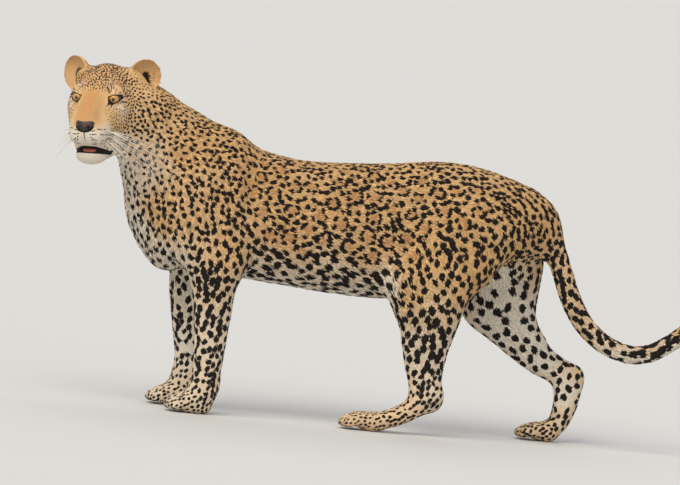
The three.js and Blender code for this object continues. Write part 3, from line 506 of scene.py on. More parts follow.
leg_coat = [
    ((24, -112, 450), (0.4, 0, -0.9), 12, 6.0, 20, 0.03, 0.3),
    ((20, -112, 350), (0.35, 0, -0.95), 13, 6.0, 20, 0.08, 0),
    ((30, -118, 400), (0.35, 0, -0.95), 12, 6.0, 20, 0.05, 0),
    ((130, -118, 380), (0.25, 0, -1), 11, 6.4, 21, 0.1, 0.2),
    ((70, -124, 300), (0.2, 0, -1), 10, 7.6, 21, 0.36, 0),
    ((78, -118, 200), (0.15, 0, -1), 8, 7.4, 20, 0.52, 0),
    ((92, -112, 110), (0, 0, -1), 6, 4.8, 15, 0.52, 0),
    ((30, -96, 60), (-0.9, 0, -0.4), 5.5, 3.6, 12, 0.35, 0),
    ((-70, -96, 34), (-0.95, 0, -0.3), 4.5, 2.6, 9.5, 0.35, 0),
    ((80, -52, 330), (0.2, 0, -1), 14, 8, 30, 1, 0),
    ((86, -60, 200), (0.1, 0, -1), 9, 7, 27, 1, 0),
    ((270, 112, 460), (0.4, 0, -0.9), 12, 6.2, 21, 0.05, 0.2),
    ((280, 128, 350), (0.4, 0, -0.9), 11, 6.6, 22, 0.12, 0),
    ((360, 120, 240), (0.7, 0, -0.7), 9, 6.2, 21, 0.25, 0),
    ((460, 116, 160), (0.3, 0, -1), 7, 5.4, 18, 0.3, 0),
    ((458, 112, 80), (-0.1, 0, -1), 6, 5, 17, 0.35, 0),
    ((390, 96, 34), (-0.95, 0, -0.3), 4.5, 3, 10.5, 0.35, 0),
    ((230, 50, 400), (0.3, 0, -0.95), 15, 8.5, 33, 1, 0),
    ((290, 60, 290), (0.6, 0, -0.8), 12, 8.5, 32, 1, 0),
    ((380, 72, 220), (0.7, 0, -0.7), 9, 7.5, 28, 0.9, 0),
    ((440, 74, 120), (0.1, 0, -1), 7, 6.5, 24, 0.75, 0),
    ((352, 0, 520), (0.5, 0, -0.85), 10, 5.6, 17, 0.2, 0),
    ((400, -10, 428), (0.3, 0, -0.95), 10, 6.2, 18, 0.3, 0),
    ((440, -12, 352), (0.5, 0, -0.85), 10, 6.6, 19, 0.35, 0),
    ((470, -16, 300), (0.6, 0, -0.8), 10, 7, 20, 0.35, 0),
    ((532, -18, 262), (0.9, 0, -0.35), 11, 7.6, 22, 0.35, 0),
    ((532, -18, 226), (0.9, 0, -0.35), 12, 7, 24, 0.8, 0),
    ((610, -16, 256), (0.98, 0, 0.2), 11, 8.4, 24, 0.35, 0),
    ((610, -16, 214), (0.98, 0, 0.2), 13, 7, 26, 0.85, 0),
    ((680, -12, 296), (0.8, 0, 0.6), 12, 9, 25, 0.2, 0),
    ((690, -12, 256), (0.8, 0, 0.6), 13, 8, 28, 0.9, 0),
    ((742, -6, 340), (0.65, 0, 0.76), 12, 9, 26, 0.5, 0),
    ((790, 0, 430), (0.4, 0, 0.9), 12, 10, 28, 0.5, 0),
]
row_reach = 26
row_core = 0.15
row_fade = 1.9
places_at_once = 20000


def coat_rows():
    spots = []
    for place, way, *rest in head_coat:
        for side in (1, -1):
            run = nose_way * way[0] + left_way * way[1] * side + crown_way * way[2]
            spots.append([*on_head(place[0], place[1] * side, place[2]), *run.normalized(), *rest])
    for place, way, *rest in body_coat:
        for side in (1, -1):
            spots.append([*on_body(place[0], place[1] * side, place[2]), *Vector(way).normalized(), *rest])
    for place, way, *rest in leg_coat:
        spots.append([*on_body(*place), *Vector(way).normalized(), *rest])
    return np.array(spots)


coat_chart = coat_rows()


def coat_at(at):
    found = np.zeros((len(at), 8))
    for start in range(0, len(at), places_at_once):
        part = at[start:start + places_at_once]
        apart = np.linalg.norm(part[:, None] - coat_chart[None, :, :3], axis=2) * 1000
        weight = 1 / (apart ** 2 + row_reach ** 2 * row_core) ** row_fade
        found[start:start + places_at_once] = (weight @ coat_chart[:, 3:]) / weight.sum(axis=1)[:, None]
    return found


def across_skin(run, out):
    flat = run - out * np.sum(run * out, axis=1)[:, None]
    return flat / np.maximum(np.linalg.norm(flat, axis=1), 1e-6)[:, None]


# The markings. Spots are set out one by one over the skin, well apart: small on the head and neck, in
# broken rings on the back and flanks, larger on the legs and largest on the belly and tail. Room, middle
# and clear are shares of the local spot spacing, grown scales the spot's half width, and depth, reach
# and cells are in metres.
spot_seed = 11
ring_turn = 2 * math.pi
ringed_from = 0.45
ring_room = 2.2
ring_middle = 0.62
ring_clear = 0.7
lone_room = 0.82
ring_spot_grown = 1.22
lone_spot_grown = 1.36
spot_depth = 0.016
spot_reach = 0.022
cell = 0.012
ring_cell = 0.05

at = places(skin)
out = outwards(skin)
coat_here = coat_at(at)
hair_way = across_skin(coat_here[:, :3], out)
spot_dice = np.random.default_rng(spot_seed)


def tree_of(points):
    tree = kdtree.KDTree(len(points))
    for index, place in enumerate(points):
        tree.insert(place, index)
    tree.balance()
    return tree


skin_tree = tree_of(at)
spot_list = []
ring_list = []
spot_cells = {}


def cells_round(home, ring):
    return product(*(range(c - ring, c + ring + 1) for c in home))


def is_free(place, reach):
    home = [int(c // cell) for c in place]
    for key in cells_round(home, int(math.ceil(reach / cell))):
        for other in spot_cells.get(key, ()):
            x, y, z = place - other
            if x ** 2 + y ** 2 + z ** 2 < reach * reach:
                return False
    return True


def mark_cell(place):
    spot_cells.setdefault(tuple(int(c // cell) for c in place), []).append(place)


def add_spot(index, place, way, half_along, half_across):
    spot_list.append([*place, *way, *out[index], half_along, half_across])
    mark_cell(place)


spotted = coat_here[:, 4] > 1.05
order = spot_dice.permutation(np.flatnonzero(spotted))
ring_centres = {}
for index in order:
    if coat_here[index, 7] < ringed_from:
        continue
    spacing = coat_here[index, 5] / 1000
    place = at[index]
    key = tuple(int(c // ring_cell) for c in place)
    others = [other for near in cells_round(key, 1) for other in ring_centres.get(near, ())]
    if any(np.linalg.norm(place - other) < spacing * ring_room for other in others):
        continue
    ring_centres.setdefault(key, []).append(place)
    ring_list.append([*place, spacing * ring_middle])
    side_way = np.cross(out[index], hair_way[index])
    count = int(spot_dice.choice([4, 5, 5, 6]))
    start = spot_dice.uniform(0, ring_turn)
    reach = spacing * spot_dice.uniform(0.74, 0.86)
    for part in range(count):
        turn = start + ring_turn * (part + spot_dice.uniform(-0.14, 0.14)) / count
        spot_way = hair_way[index] * math.cos(turn) * 1.1 + side_way * math.sin(turn) * 0.94
        target = place + spot_way * reach
        near_index = skin_tree.find(target)[1]
        along = across_skin((hair_way[index] * -math.sin(turn) + side_way * math.cos(turn))[None],
                            out[near_index][None])[0]
        half = coat_here[index, 4] * ring_spot_grown / 1000
        add_spot(near_index, at[near_index], along,
                 half * spot_dice.uniform(0.95, 1.3), half * spot_dice.uniform(0.68, 0.88))
for index in order:
    place = at[index]
    spacing = coat_here[index, 5] / 1000
    if not is_free(place, spacing * lone_room):
        continue
    if coat_here[index, 7] > ringed_from:
        others = ring_centres.get(tuple(int(c // ring_cell) for c in place), ())
        if any(np.linalg.norm(place - other) < spacing * ring_clear for other in others):
            continue
    turn = spot_dice.normal(0, 0.5)
    side_way = np.cross(out[index], hair_way[index])
    way = hair_way[index] * math.cos(turn) + side_way * math.sin(turn)
    half = coat_here[index, 4] * lone_spot_grown / 1000
    add_spot(index, place, way, half * spot_dice.uniform(0.95, 1.35), half * spot_dice.uniform(0.72, 0.95))
spots = np.array(spot_list)
rings = np.array(ring_list)
spot_tree = tree_of(spots[:, :3])
ring_tree = tree_of(rings[:, :3])


# The black lines of the face and the ears: the rims and corners of the lids, the tear mark, the lips and the
# groove over them, four rows of dashes on each whisker pad, and the black backs of the ears. A half-dark
# patch low in each ear's cup is painted shade.
mouth_corner_forward = 22
mouth_corner_up = -103
upper_lip_slope = 0.46
lower_lip_slope = 0.24
ear_outward = math.radians(28)
ear_place = (-104, 74, 26)
ear_shell = (42, 46, 26)
ear_cup = (36.5, 41.5, 28)
ear_cup_place = (0, 2, 13)
leather_ink_place = (78, 0, -42)
leather_ink_half = (17, 19, 12)


def face_lines():
    lines = []
    for side in (1, -1):
        lines.append(([(2, side * 23, -4), (9, side * 21, -10), (22, side * 20, -24)], 3.6, 0.8))
        lines.append(([(-12, side * 55, 3), (-20, side * 61, 4), (-34, side * 66, 2)], 1.5, 0.8))
        for row, (height, back) in enumerate([(-50, 0), (-56, 1), (-62, 2), (-68, 3)]):
            for dash in range(7):
                forward = 86 - dash * 9 - back * 1.5
                outward = 11 + dash * 4.8 + row * 1.5
                lines.append(([(forward, side * outward, height - dash * 1.4),
                               (forward - 5.5, side * (outward + 2.6), height - 0.9 - dash * 1.4)],
                              1.3, 0.8))
    lines.append(([(92, 0, -53), (88, 0, -66), (80, 0, -78)], 1.2, 0.8))
    drawn = []
    for line, start_half, end_half in lines:
        on_skin = [head_mm(at[skin_tree.find(on_head(*corner))[1]][None])[0] for corner in line]
        drawn.append((on_skin, start_half, end_half))
    return drawn


def lip_ink(head_at):
    forward, aside, up = head_at.T
    from_upper = up - (mouth_corner_up + upper_lip_slope * (forward - mouth_corner_forward))
    from_lower = up - (mouth_corner_up + lower_lip_slope * (forward - mouth_corner_forward))
    ahead = eased(forward, 4, mouth_corner_forward)
    lower_band = 3.4 - np.abs(from_lower + 2.4)
    # The upper band and the fill between the lips are partly the lips' own black and partly painted shade
    # under the upper lip and in the mouth.
    upper_band = 1.2 - np.abs(from_upper - 0.2)
    inside = np.minimum(from_lower + 1.5, 1.5 - from_upper) + 1.2
    band = np.maximum(np.maximum(lower_band, upper_band), inside)
    corner = 4.5 - np.hypot(forward - 16, up + 104)
    return np.maximum(np.where(ahead > 0.4, band, -9), np.where(np.abs(aside) > 18, corner, -9))


def ear_shades(at):
    inner = np.zeros(len(at))
    back = np.zeros(len(at))
    patch = np.zeros(len(at))
    ear_cup_shade = np.zeros(len(at))
    for side in (1, -1):
        look = (nose_way * math.cos(ear_outward) + left_way * side * math.sin(ear_outward)) * head_size
        look = (look + crown_way * 0.12 * head_tall).normalized()
        rise = (nose_way * -0.3 + left_way * side * 0.42) * head_size + crown_way * 0.86 * head_tall
        rise = (rise - look * rise.dot(look)).normalized()
        ways = np.array([rise.cross(look), rise, look])
        middle_of_ear = on_head(ear_place[0], side * ear_place[1], ear_place[2])
        local = (at - np.array(middle_of_ear)) @ ways.T * 1000
        shell = np.linalg.norm(local / np.array(ear_shell), axis=1)
        cup = np.linalg.norm((local - np.array(ear_cup_place)) / np.array(ear_cup), axis=1)
        on_ear = (1 - eased(shell, 1.1, 1.25)) * eased(local[:, 1], -34, -22)
        inside = eased(np.abs(shell - 1) - np.abs(cup - 1), -0.04, 0.04)
        inner = np.maximum(inner, on_ear * inside)
        back = np.maximum(back, on_ear * (1 - inside) * (1 - eased(local[:, 2], -9, -3)))
        patch_apart = np.hypot(local[:, 0] / 15, local[:, 1] / 12)
        patch = np.maximum(patch, (1 - eased(patch_apart, 0.8, 1.2)) * on_ear)
        # Painted shade: a patch low in each ear's cup, where shade falls deep in the ear, is darkened.
        ear_cup_shade_apart = np.hypot((local[:, 0] * -side + 5) / 19, (local[:, 1] + 10) / 32)
        ear_cup_shade = np.maximum(ear_cup_shade, (1 - eased(ear_cup_shade_apart, 0.4, 1.25)) * on_ear)
    return inner, back, patch, ear_cup_shade


def ink_at(at):
    mm = at * 1000
    sway = np.stack([
        np.sin(0.31 * mm[:, 1] + 1.3 * np.sin(0.17 * mm[:, 2])) + np.sin(0.53 * mm[:, 2] + 0.9),
        np.sin(0.29 * mm[:, 2] + 1.7 * np.sin(0.19 * mm[:, 0])) + np.sin(0.47 * mm[:, 0] + 2.1),
        np.sin(0.27 * mm[:, 0] + 1.1 * np.sin(0.23 * mm[:, 1])) + np.sin(0.59 * mm[:, 1] + 4.2),
    ], axis=1) * 0.0006
    best = np.full(len(at), -8.0)
    centre = np.zeros(len(at))
    looked = at + sway
    for i, place in enumerate(looked):
        for _, index, apart in spot_tree.find_n(place, 4):
            if apart > spot_reach:
                break
            spot = spots[index]
            step = place - spot[:3]
            along = step @ spot[3:6]
            deep = step @ spot[6:9]
            aside = apart * apart - along * along - deep * deep
            size = (along / spot[9]) ** 2 + max(aside, 0) / spot[10] ** 2 + (deep / spot_depth) ** 2
            size = math.sqrt(size)
            best[i] = max(best[i], (1 - size) * spot[10] * 1000)
        _, ring_index, ring_apart = ring_tree.find(place)
        centre[i] = ring_apart / rings[ring_index, 3]
    centre = 1 - eased(centre, 0.75, 1.35)
    head_at = head_mm(at)
    near_face = (np.abs(head_at) < 150).all(axis=1)
    on_face = np.flatnonzero(near_face & (head_at[:, 0] > -60))
    face_at = head_at[on_face]
    face_ink = best[on_face]
    for line, start_half, end_half in face_lines():
        away, share = line_share(face_at, line)
        face_ink = np.maximum(face_ink, start_half + (end_half - start_half) * share - away)
    for side in (1, -1):
        beyond, reach, local = outside_lids(at[on_face], side)
        rim = np.where((reach < 26) & (local[:, 2] > 0), 1.8 - beyond, -9)
        face_ink = np.maximum(face_ink, rim)
    face_ink = np.maximum(face_ink, np.where(face_at[:, 0] > -2, lip_ink(face_at), -9))
    from_nose = np.linalg.norm((face_at - np.array(leather_ink_place)) / np.array(leather_ink_half), axis=1)
    face_ink = np.maximum(face_ink, (1.05 - from_nose) * 12)
    best[on_face] = face_ink
    centre = centre * 0.55
    brow = eased(head_at[:, 0], -110, -60) * (1 - eased(np.abs(head_at[:, 1]), 40, 60))
    brow = brow * eased(head_at[:, 2], 14, 26)
    centre = np.maximum(centre, 0.4 * brow * near_face)
    bridge = 0.62 * eased(head_at[:, 0], -12, 24) * (1 - eased(np.abs(head_at[:, 1]), 4, 30))
    bridge = bridge * eased(head_at[:, 2], -52, -34)
    centre = np.maximum(centre, bridge * near_face)
    inner, back, patch, ear_cup_shade = ear_shades(at)
    # Inside the ears the skin is pale, but half dark in the lower cup as painted shade.
    best = best * (1 - inner) + inner * (-1 + 1.8 * ear_cup_shade)
    best = best * (1 - back) + back * (7 - 13 * patch)
    return best, centre


ink, ring_centre = ink_at(at)


# The skin's unwrap, which the coat's own maps follow, and its finish. Skin and hair share one colouring:
# a golden ground that turns cream below, a tawny middle to each ring, and near black for every marking.
def paint(red, green, blue):
    return tuple((c / 255 / 12.92 if c < 11 else ((c / 255 + 0.055) / 1.055) ** 2.4)
                 for c in (red, green, blue)) + (1,)


bpy.ops.object.select_all(action="DESELECT")
skin.select_set(True)
bpy.context.view_layer.objects.active = skin
bpy.ops.object.shade_smooth()
bpy.ops.object.mode_set(mode="EDIT")
bpy.ops.mesh.select_all(action="SELECT")
bpy.ops.uv.smart_project(angle_limit=math.radians(70), island_margin=0.001)
bpy.ops.object.mode_set(mode="OBJECT")
skin.data.uv_layers[0].name = "OFBake"
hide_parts(*body_nodes, *head_nodes)
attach(skin, "root")


def marks_of(ink, pale, centre, shade):
    return np.stack([0.5 + np.clip(ink, -7, 7) / 16, pale, centre, shade], axis=1)


def give_marks(piece, marks):
    layer = piece.data.color_attributes.new("marks", "FLOAT_COLOR", "POINT")
    layer.data.foreach_set("color", marks.astype(np.float32).ravel())


# Painted shade: the skin under the coat is a little darker than the tufts, and darker still inside the ears'
# cups.
ear_inner = ear_shades(at)[0]
give_marks(skin, marks_of(ink, coat_here[:, 6], ring_centre, 0.45 - 0.15 * ear_inner))


def new_group(name, inputs, outputs):
    group = bpy.data.node_groups.new(name, "ShaderNodeTree")
    for label, kind in inputs:
        group.interface.new_socket(name=label, in_out="INPUT", socket_type=kind)
    for label, kind in outputs:
        group.interface.new_socket(name=label, in_out="OUTPUT", socket_type=kind)
    return group, group.nodes.new("NodeGroupInput"), group.nodes.new("NodeGroupOutput")


def joined_to(tree, kind, values=(), **settings):
    node = tree.nodes.new(kind)
    for key, value in settings.items():
        setattr(node, key, value)
    for socket, value in dict(values).items():
        if isinstance(value, bpy.types.NodeSocket):
            tree.links.new(value, node.inputs[socket])
        else:
            node.inputs[socket].default_value = value
    return node


def stepped(tree, value, low, high):
    return joined_to(tree, "ShaderNodeMapRange", {"Value": value, "From Min": low, "From Max": high},
                     interpolation_type="SMOOTHSTEP")


def blended(tree, share, first, second):
    return joined_to(tree, "ShaderNodeMix", {"Factor": share, "A": first, "B": second}, data_type="RGBA")


def noise(tree, place, scale, detail):
    return joined_to(tree, "ShaderNodeTexNoise", {"Vector": place, "Scale": scale, "Detail": detail})


coat_colour, colour_in, colour_out = new_group(
    "coat_colour",
    [("Marks", "NodeSocketColor"), ("Shade", "NodeSocketFloat"), ("Depth", "NodeSocketFloat")],
    [("Colour", "NodeSocketColor"), ("Roughness", "NodeSocketFloat"), ("Height", "NodeSocketFloat")],
)
tree = coat_colour
spot = joined_to(tree, "ShaderNodeTexCoord")
parts = joined_to(tree, "ShaderNodeSeparateColor", {0: colour_in.outputs["Marks"]})
fine = noise(tree, spot.outputs["Object"], 330, 3)
wide = noise(tree, spot.outputs["Object"], 9, 2)
patchy = noise(tree, spot.outputs["Object"], 60, 3)
ragged = joined_to(tree, "ShaderNodeMath", {0: fine.outputs["Fac"], 1: 0.07, 2: parts.outputs["Red"]},
                   operation="MULTIPLY_ADD")
spot_mask = stepped(tree, ragged.outputs[0], 0.515, 0.56)
gold = blended(tree, wide.outputs["Fac"], paint(222, 170, 108), paint(238, 200, 146))
pale_share = joined_to(tree, "ShaderNodeMath", {0: patchy.outputs["Fac"], 1: 0.3, 2: parts.outputs["Green"]},
                       operation="MULTIPLY_ADD")
pale_mask = stepped(tree, pale_share.outputs[0], 0.2, 1.0)
ground = blended(tree, pale_mask.outputs[0], gold.outputs["Result"], paint(240, 229, 210))
tawny_share = joined_to(tree, "ShaderNodeMath", {0: parts.outputs["Blue"], 1: 0.7}, operation="MULTIPLY")
tawny = blended(tree, tawny_share.outputs[0], ground.outputs["Result"], paint(182, 114, 58))
# Shade scales the colour. It carries each tuft's random tone, painted shade at tuft roots, on the skin under
# the coat and in the ear cups, and painted light at tuft tips.
lit = joined_to(tree, "ShaderNodeMapRange",
                {"Value": colour_in.outputs["Shade"], "To Min": 0.62, "To Max": 1.3})
toned = joined_to(tree, "ShaderNodeVectorMath", {0: tawny.outputs["Result"], "Scale": lit.outputs[0]},
                  operation="SCALE")
black = blended(tree, spot_mask.outputs[0], toned.outputs[0], paint(30, 24, 20))
tree.links.new(black.outputs["Result"], colour_out.inputs["Colour"])
rough = joined_to(tree, "ShaderNodeMapRange", {"Value": patchy.outputs["Fac"], "To Min": 0.62, "To Max": 0.9})
tree.links.new(rough.outputs[0], colour_out.inputs["Roughness"])
tree.links.new(fine.outputs["Fac"], colour_out.inputs["Height"])


def coat_finish(name, bump):
    finish = bpy.data.materials.new(name)
    finish.use_nodes = True
    tree = finish.node_tree
    shader = tree.nodes["Principled BSDF"]
    marks = joined_to(tree, "ShaderNodeAttribute", attribute_name="marks")
    colour = tree.nodes.new("ShaderNodeGroup")
    colour.node_tree = coat_colour
    tree.links.new(marks.outputs["Color"], colour.inputs["Marks"])
    tree.links.new(marks.outputs["Alpha"], colour.inputs["Shade"])
    relief = joined_to(tree, "ShaderNodeBump", {"Height": colour.outputs["Height"], "Strength": bump,
                                                "Distance": 0.002})
    tree.links.new(colour.outputs["Colour"], shader.inputs["Base Color"])
    tree.links.new(colour.outputs["Roughness"], shader.inputs["Roughness"])
    tree.links.new(relief.outputs["Normal"], shader.inputs["Normal"])
    shader.inputs["Specular IOR Level"].default_value = 0.25
    return finish


skin.data.materials.append(coat_finish("skin_and_down", 0.35))


# The coat: flat tapered tufts of hair, each rooted in the skin and laid along it, overlapping like tiles.
# They are finest on the face and feet, longer on the chest and longest on the belly and in the groin.
coat_seed = 5
body_tuft_area = 17e-6
face_tuft_area = 3.4e-6
tufts_a_piece = 19000
short_tufts_a_piece = 45000
widest_tuft = 0.0021
long_hair_from = 7.5
patch = 0.003
leather_middle = (77, 0, -38)
leather_half = (13, 21, 15)
sole_height = 4

skin.data.calc_loop_triangles()
triangles = read_out(skin.data.loop_triangles, "vertices", 3, np.int32)
loops = read_out(skin.data.loop_triangles, "loops", 3, np.int32)
map_places = read_out(skin.data.uv_layers["OFBake"].data, "uv", 2)
out = outwards(skin)

sides = at[triangles]
area = np.linalg.norm(np.cross(sides[:, 1] - sides[:, 0], sides[:, 2] - sides[:, 0]), axis=1) / 2
hair = coat_here[:, 3][triangles].mean(axis=1)
tuft_area = face_tuft_area + (body_tuft_area - face_tuft_area) * eased(hair, 3, 11)
centre_mm = head_mm(sides.mean(axis=1))
bare = (np.abs(centre_mm - np.array(leather_middle)) < np.array(leather_half)).all(axis=1)
for side in (1, -1):
    beyond, reach, local = outside_lids(sides.mean(axis=1), side)
    bare = bare | ((reach < 26) & (local[:, 2] > 0) & (beyond < 2.4))
lips = lip_ink(centre_mm)
on_lips = (lips > 0.5) & (centre_mm[:, 0] > -2) & (np.abs(centre_mm[:, 1]) < 60)
bare = bare | (on_lips & (centre_mm[:, 2] < -70))
bare = bare | (body_mm(sides.mean(axis=1))[:, 2] < sole_height)
coat_dice = np.random.default_rng(coat_seed)
share = np.where(bare, 0, area / tuft_area)
count = np.floor(share + coat_dice.random(len(share))).astype(int)
chosen = np.repeat(np.arange(len(triangles)), count)
weights = coat_dice.dirichlet((1, 1, 1), len(chosen))


def spread(values, corners):
    return np.einsum("ij,ijk->ik", weights, values[corners[chosen]])


root = spread(at, triangles)
root_out = spread(out, triangles)
root_out /= np.linalg.norm(root_out, axis=1)[:, None]
root_coat = spread(coat_here, triangles)
root_map = spread(map_places, loops)
along = across_skin(root_coat[:, :3], root_out)
seen_at = root + along * (root_coat[:, 3] * 0.5 / 1000)[:, None]
root_ink, root_centre = ink_at(seen_at)
swing = coat_dice.normal(0, 0.16, len(root))[:, None]
beside = np.cross(root_out, along)
along = along * np.cos(swing) + beside * np.sin(swing)
beside = np.cross(root_out, along)
length = root_coat[:, 3] * coat_dice.uniform(0.62, 1.0, len(root)) / 1000
width = (0.45 + root_coat[:, 3] * 0.105) * coat_dice.uniform(0.8, 1.2, len(root)) / 1000
width = np.minimum(width, widest_tuft)
lift = (0.25 + 0.115 * np.minimum(root_coat[:, 3], 16)) * coat_dice.uniform(0.6, 1.35, len(root)) / 1000
shade = np.clip(0.5 + coat_dice.normal(0, 0.13, len(root)), 0, 1)
is_long = root_coat[:, 3] > long_hair_from


def section_of(index, step_along, rise, wide, thick):
    middle_line = root[index] + along[index] * step_along[:, None] + root_out[index] * rise[:, None]
    return [
        middle_line - beside[index] * wide[:, None],
        middle_line + root_out[index] * thick[:, None],
        middle_line + beside[index] * wide[:, None],
    ]


def lay_coat(name, index, long_hair):
    reach, half, high = length[index], width[index], lift[index]
    rows = section_of(index, reach * 0, high * -0.6, half * 0.8, high * 0.5)
    if long_hair:
        rows += section_of(index, reach * 0.5, high * 0.55, half, high * 0.45)
    tip = root[index] + along[index] * reach[:, None] + root_out[index] * (high * 0.9)[:, None]
    rows.append(tip)
    corners = np.stack(rows, axis=1)
    count, per = corners.shape[:2]
    faces = [(0, 2, 1)]
    if long_hair:
        faces += [(0, 1, 4), (0, 4, 3), (1, 2, 5), (1, 5, 4), (2, 0, 3), (2, 3, 5)]
        faces += [(3, 4, 6), (4, 5, 6), (5, 3, 6)]
    else:
        faces += [(0, 1, 3), (1, 2, 3), (2, 0, 3)]
    faces = np.array(faces)
    wholes = (np.arange(count)[:, None, None] * per + faces[None]).reshape(-1, 3)
    mesh = bpy.data.meshes.new(name)
    mesh.vertices.add(count * per)
    mesh.vertices.foreach_set("co", corners.ravel())
    mesh.loops.add(wholes.size)
    mesh.loops.foreach_set("vertex_index", wholes.ravel().astype(np.int32))
    mesh.polygons.add(len(wholes))
    mesh.polygons.foreach_set("loop_start", np.arange(0, wholes.size, 3, dtype=np.int32))
    mesh.polygons.foreach_set("use_smooth", np.ones(len(wholes), bool))
    mesh.update(calc_edges=True)
    mesh.validate()
    piece = bpy.data.objects.new(name, mesh)
    bpy.context.scene.collection.objects.link(piece)
    step = np.linspace(0, 1, per)
    offsets = np.stack([np.tile([-0.5, 0, 0.5], 3)[:per] * patch, (step - 0.5) * patch], axis=1)
    offsets[-1, 0] = 0
    map_at = (root_map[index][:, None] + offsets[None]).reshape(-1, 2)
    layer = mesh.uv_layers.new(name="OFBake")
    layer.data.foreach_set("uv", map_at[wholes.ravel()].ravel())
    # Painted shade and light along each tuft: its root is darkened where the tufts overlap, and its tip is
    # lightened.
    root_shade_tip_light = np.concatenate([np.full(3, -0.16), np.full(per - 4, 0.0), [0.14]])
    shades = np.clip(shade[index][:, None] + root_shade_tip_light[None], 0, 1)
    marks = marks_of(root_ink[index], root_coat[index, 6], root_centre[index], shade[index])
    marks = np.repeat(marks[:, None], per, axis=1)
    marks[:, :, 3] = shades
    give_marks(piece, marks.reshape(-1, 4))
    mesh.materials.append(hair_finish)
    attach(piece, "root")
    return piece


hair_finish = coat_finish("hair", 0.15)
from_nose = np.argsort(root[:, 0], kind="stable")
for kind, wanted, most in (("short", ~is_long, short_tufts_a_piece), ("long", is_long, tufts_a_piece)):
    rows = from_nose[wanted[from_nose]]
    pieces = max(1, math.ceil(len(rows) / most))
    for number, index in enumerate(np.array_split(rows, pieces)):
        lay_coat(f"coat_{kind}_{number + 1}", index, kind == "long")


# The eyes: glassy balls held under the lids, each one piece with a low rise in front for the cornea. The
# round pupil lies in an amber iris, streaked outwards and darker at its rim.
gaze_out = math.radians(8)
cornea_rise = 0.0011
pupil_mm = 4
iris_mm = 12.6


def eye_finish(side, facing):
    finish = bpy.data.materials.new("eye_glass_left" if side > 0 else "eye_glass_right")
    finish.use_nodes = True
    tree = finish.node_tree
    shader = tree.nodes["Principled BSDF"]
    turned = Matrix(facing.tolist())
    shift = turned @ eye_middle(side)
    where = joined_to(tree, "ShaderNodeTexCoord")
    placed = joined_to(tree, "ShaderNodeMapping", {
        "Vector": where.outputs["Object"],
        "Rotation": turned.to_euler(),
        "Location": -shift,
    })
    flat = joined_to(tree, "ShaderNodeVectorMath", {0: placed.outputs[0], 1: (1000, 1000, 0)},
                     operation="MULTIPLY")
    from_centre = joined_to(tree, "ShaderNodeVectorMath", {0: flat.outputs[0]}, operation="LENGTH")
    swirl = joined_to(tree, "ShaderNodeTexGradient", {"Vector": flat.outputs[0]}, gradient_type="RADIAL")
    fibre_at = joined_to(tree, "ShaderNodeCombineXYZ",
                         {"X": swirl.outputs["Fac"], "Y": from_centre.outputs["Value"]})
    stretch = joined_to(tree, "ShaderNodeVectorMath", {0: fibre_at.outputs[0], 1: (46, 0.25, 1)},
                        operation="MULTIPLY")
    fibres = noise(tree, stretch.outputs[0], 1.4, 4)
    ramp = joined_to(tree, "ShaderNodeValToRGB", {"Fac": fibres.outputs["Fac"]})
    ramp.color_ramp.elements[0].color = paint(150, 96, 30)
    ramp.color_ramp.elements[0].position = 0.3
    ramp.color_ramp.elements[1].color = paint(236, 178, 74)
    ramp.color_ramp.elements[1].position = 0.72
    rim = stepped(tree, from_centre.outputs["Value"], iris_mm - 1.8, iris_mm)
    iris = blended(tree, rim.outputs[0], ramp.outputs["Color"], paint(46, 28, 18))
    hole = stepped(tree, from_centre.outputs["Value"], pupil_mm + 0.3, pupil_mm - 0.3)
    whole = blended(tree, hole.outputs[0], iris.outputs["Result"], paint(8, 7, 7))
    tree.links.new(whole.outputs["Result"], shader.inputs["Base Color"])
    shader.inputs["Roughness"].default_value = 0.25
    shader.inputs["Coat Weight"].default_value = 1
    shader.inputs["Coat Roughness"].default_value = 0.03
    return finish


for side, node in ((1, "eye_left"), (-1, "eye_right")):
    look = (nose_way * math.cos(gaze_out) + left_way * side * math.sin(gaze_out)).normalized()
    over = (crown_way - look * crown_way.dot(look)).normalized()
    facing = np.array([over.cross(look), over, look])
    bpy.ops.mesh.primitive_uv_sphere_add(segments=48, ring_count=32, radius=eye_radius,
                                         location=eye_middle(side))
    eye = bpy.context.object
    eye.name = "eyeball_left" if side > 0 else "eyeball_right"
    bpy.ops.object.transform_apply(location=True, rotation=True, scale=True)
    ball_at = places(eye)
    from_middle = ball_at - np.array(eye_middle(side))
    ahead = from_middle @ np.array(look) / eye_radius
    ball_at += from_middle / eye_radius * (cornea_rise * eased(ahead, 0.72, 0.98))[:, None]
    put_at(eye, ball_at)
    bpy.ops.object.shade_smooth()
    eye.data.materials.append(eye_finish(side, facing))
    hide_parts(node)
    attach(eye, "root")


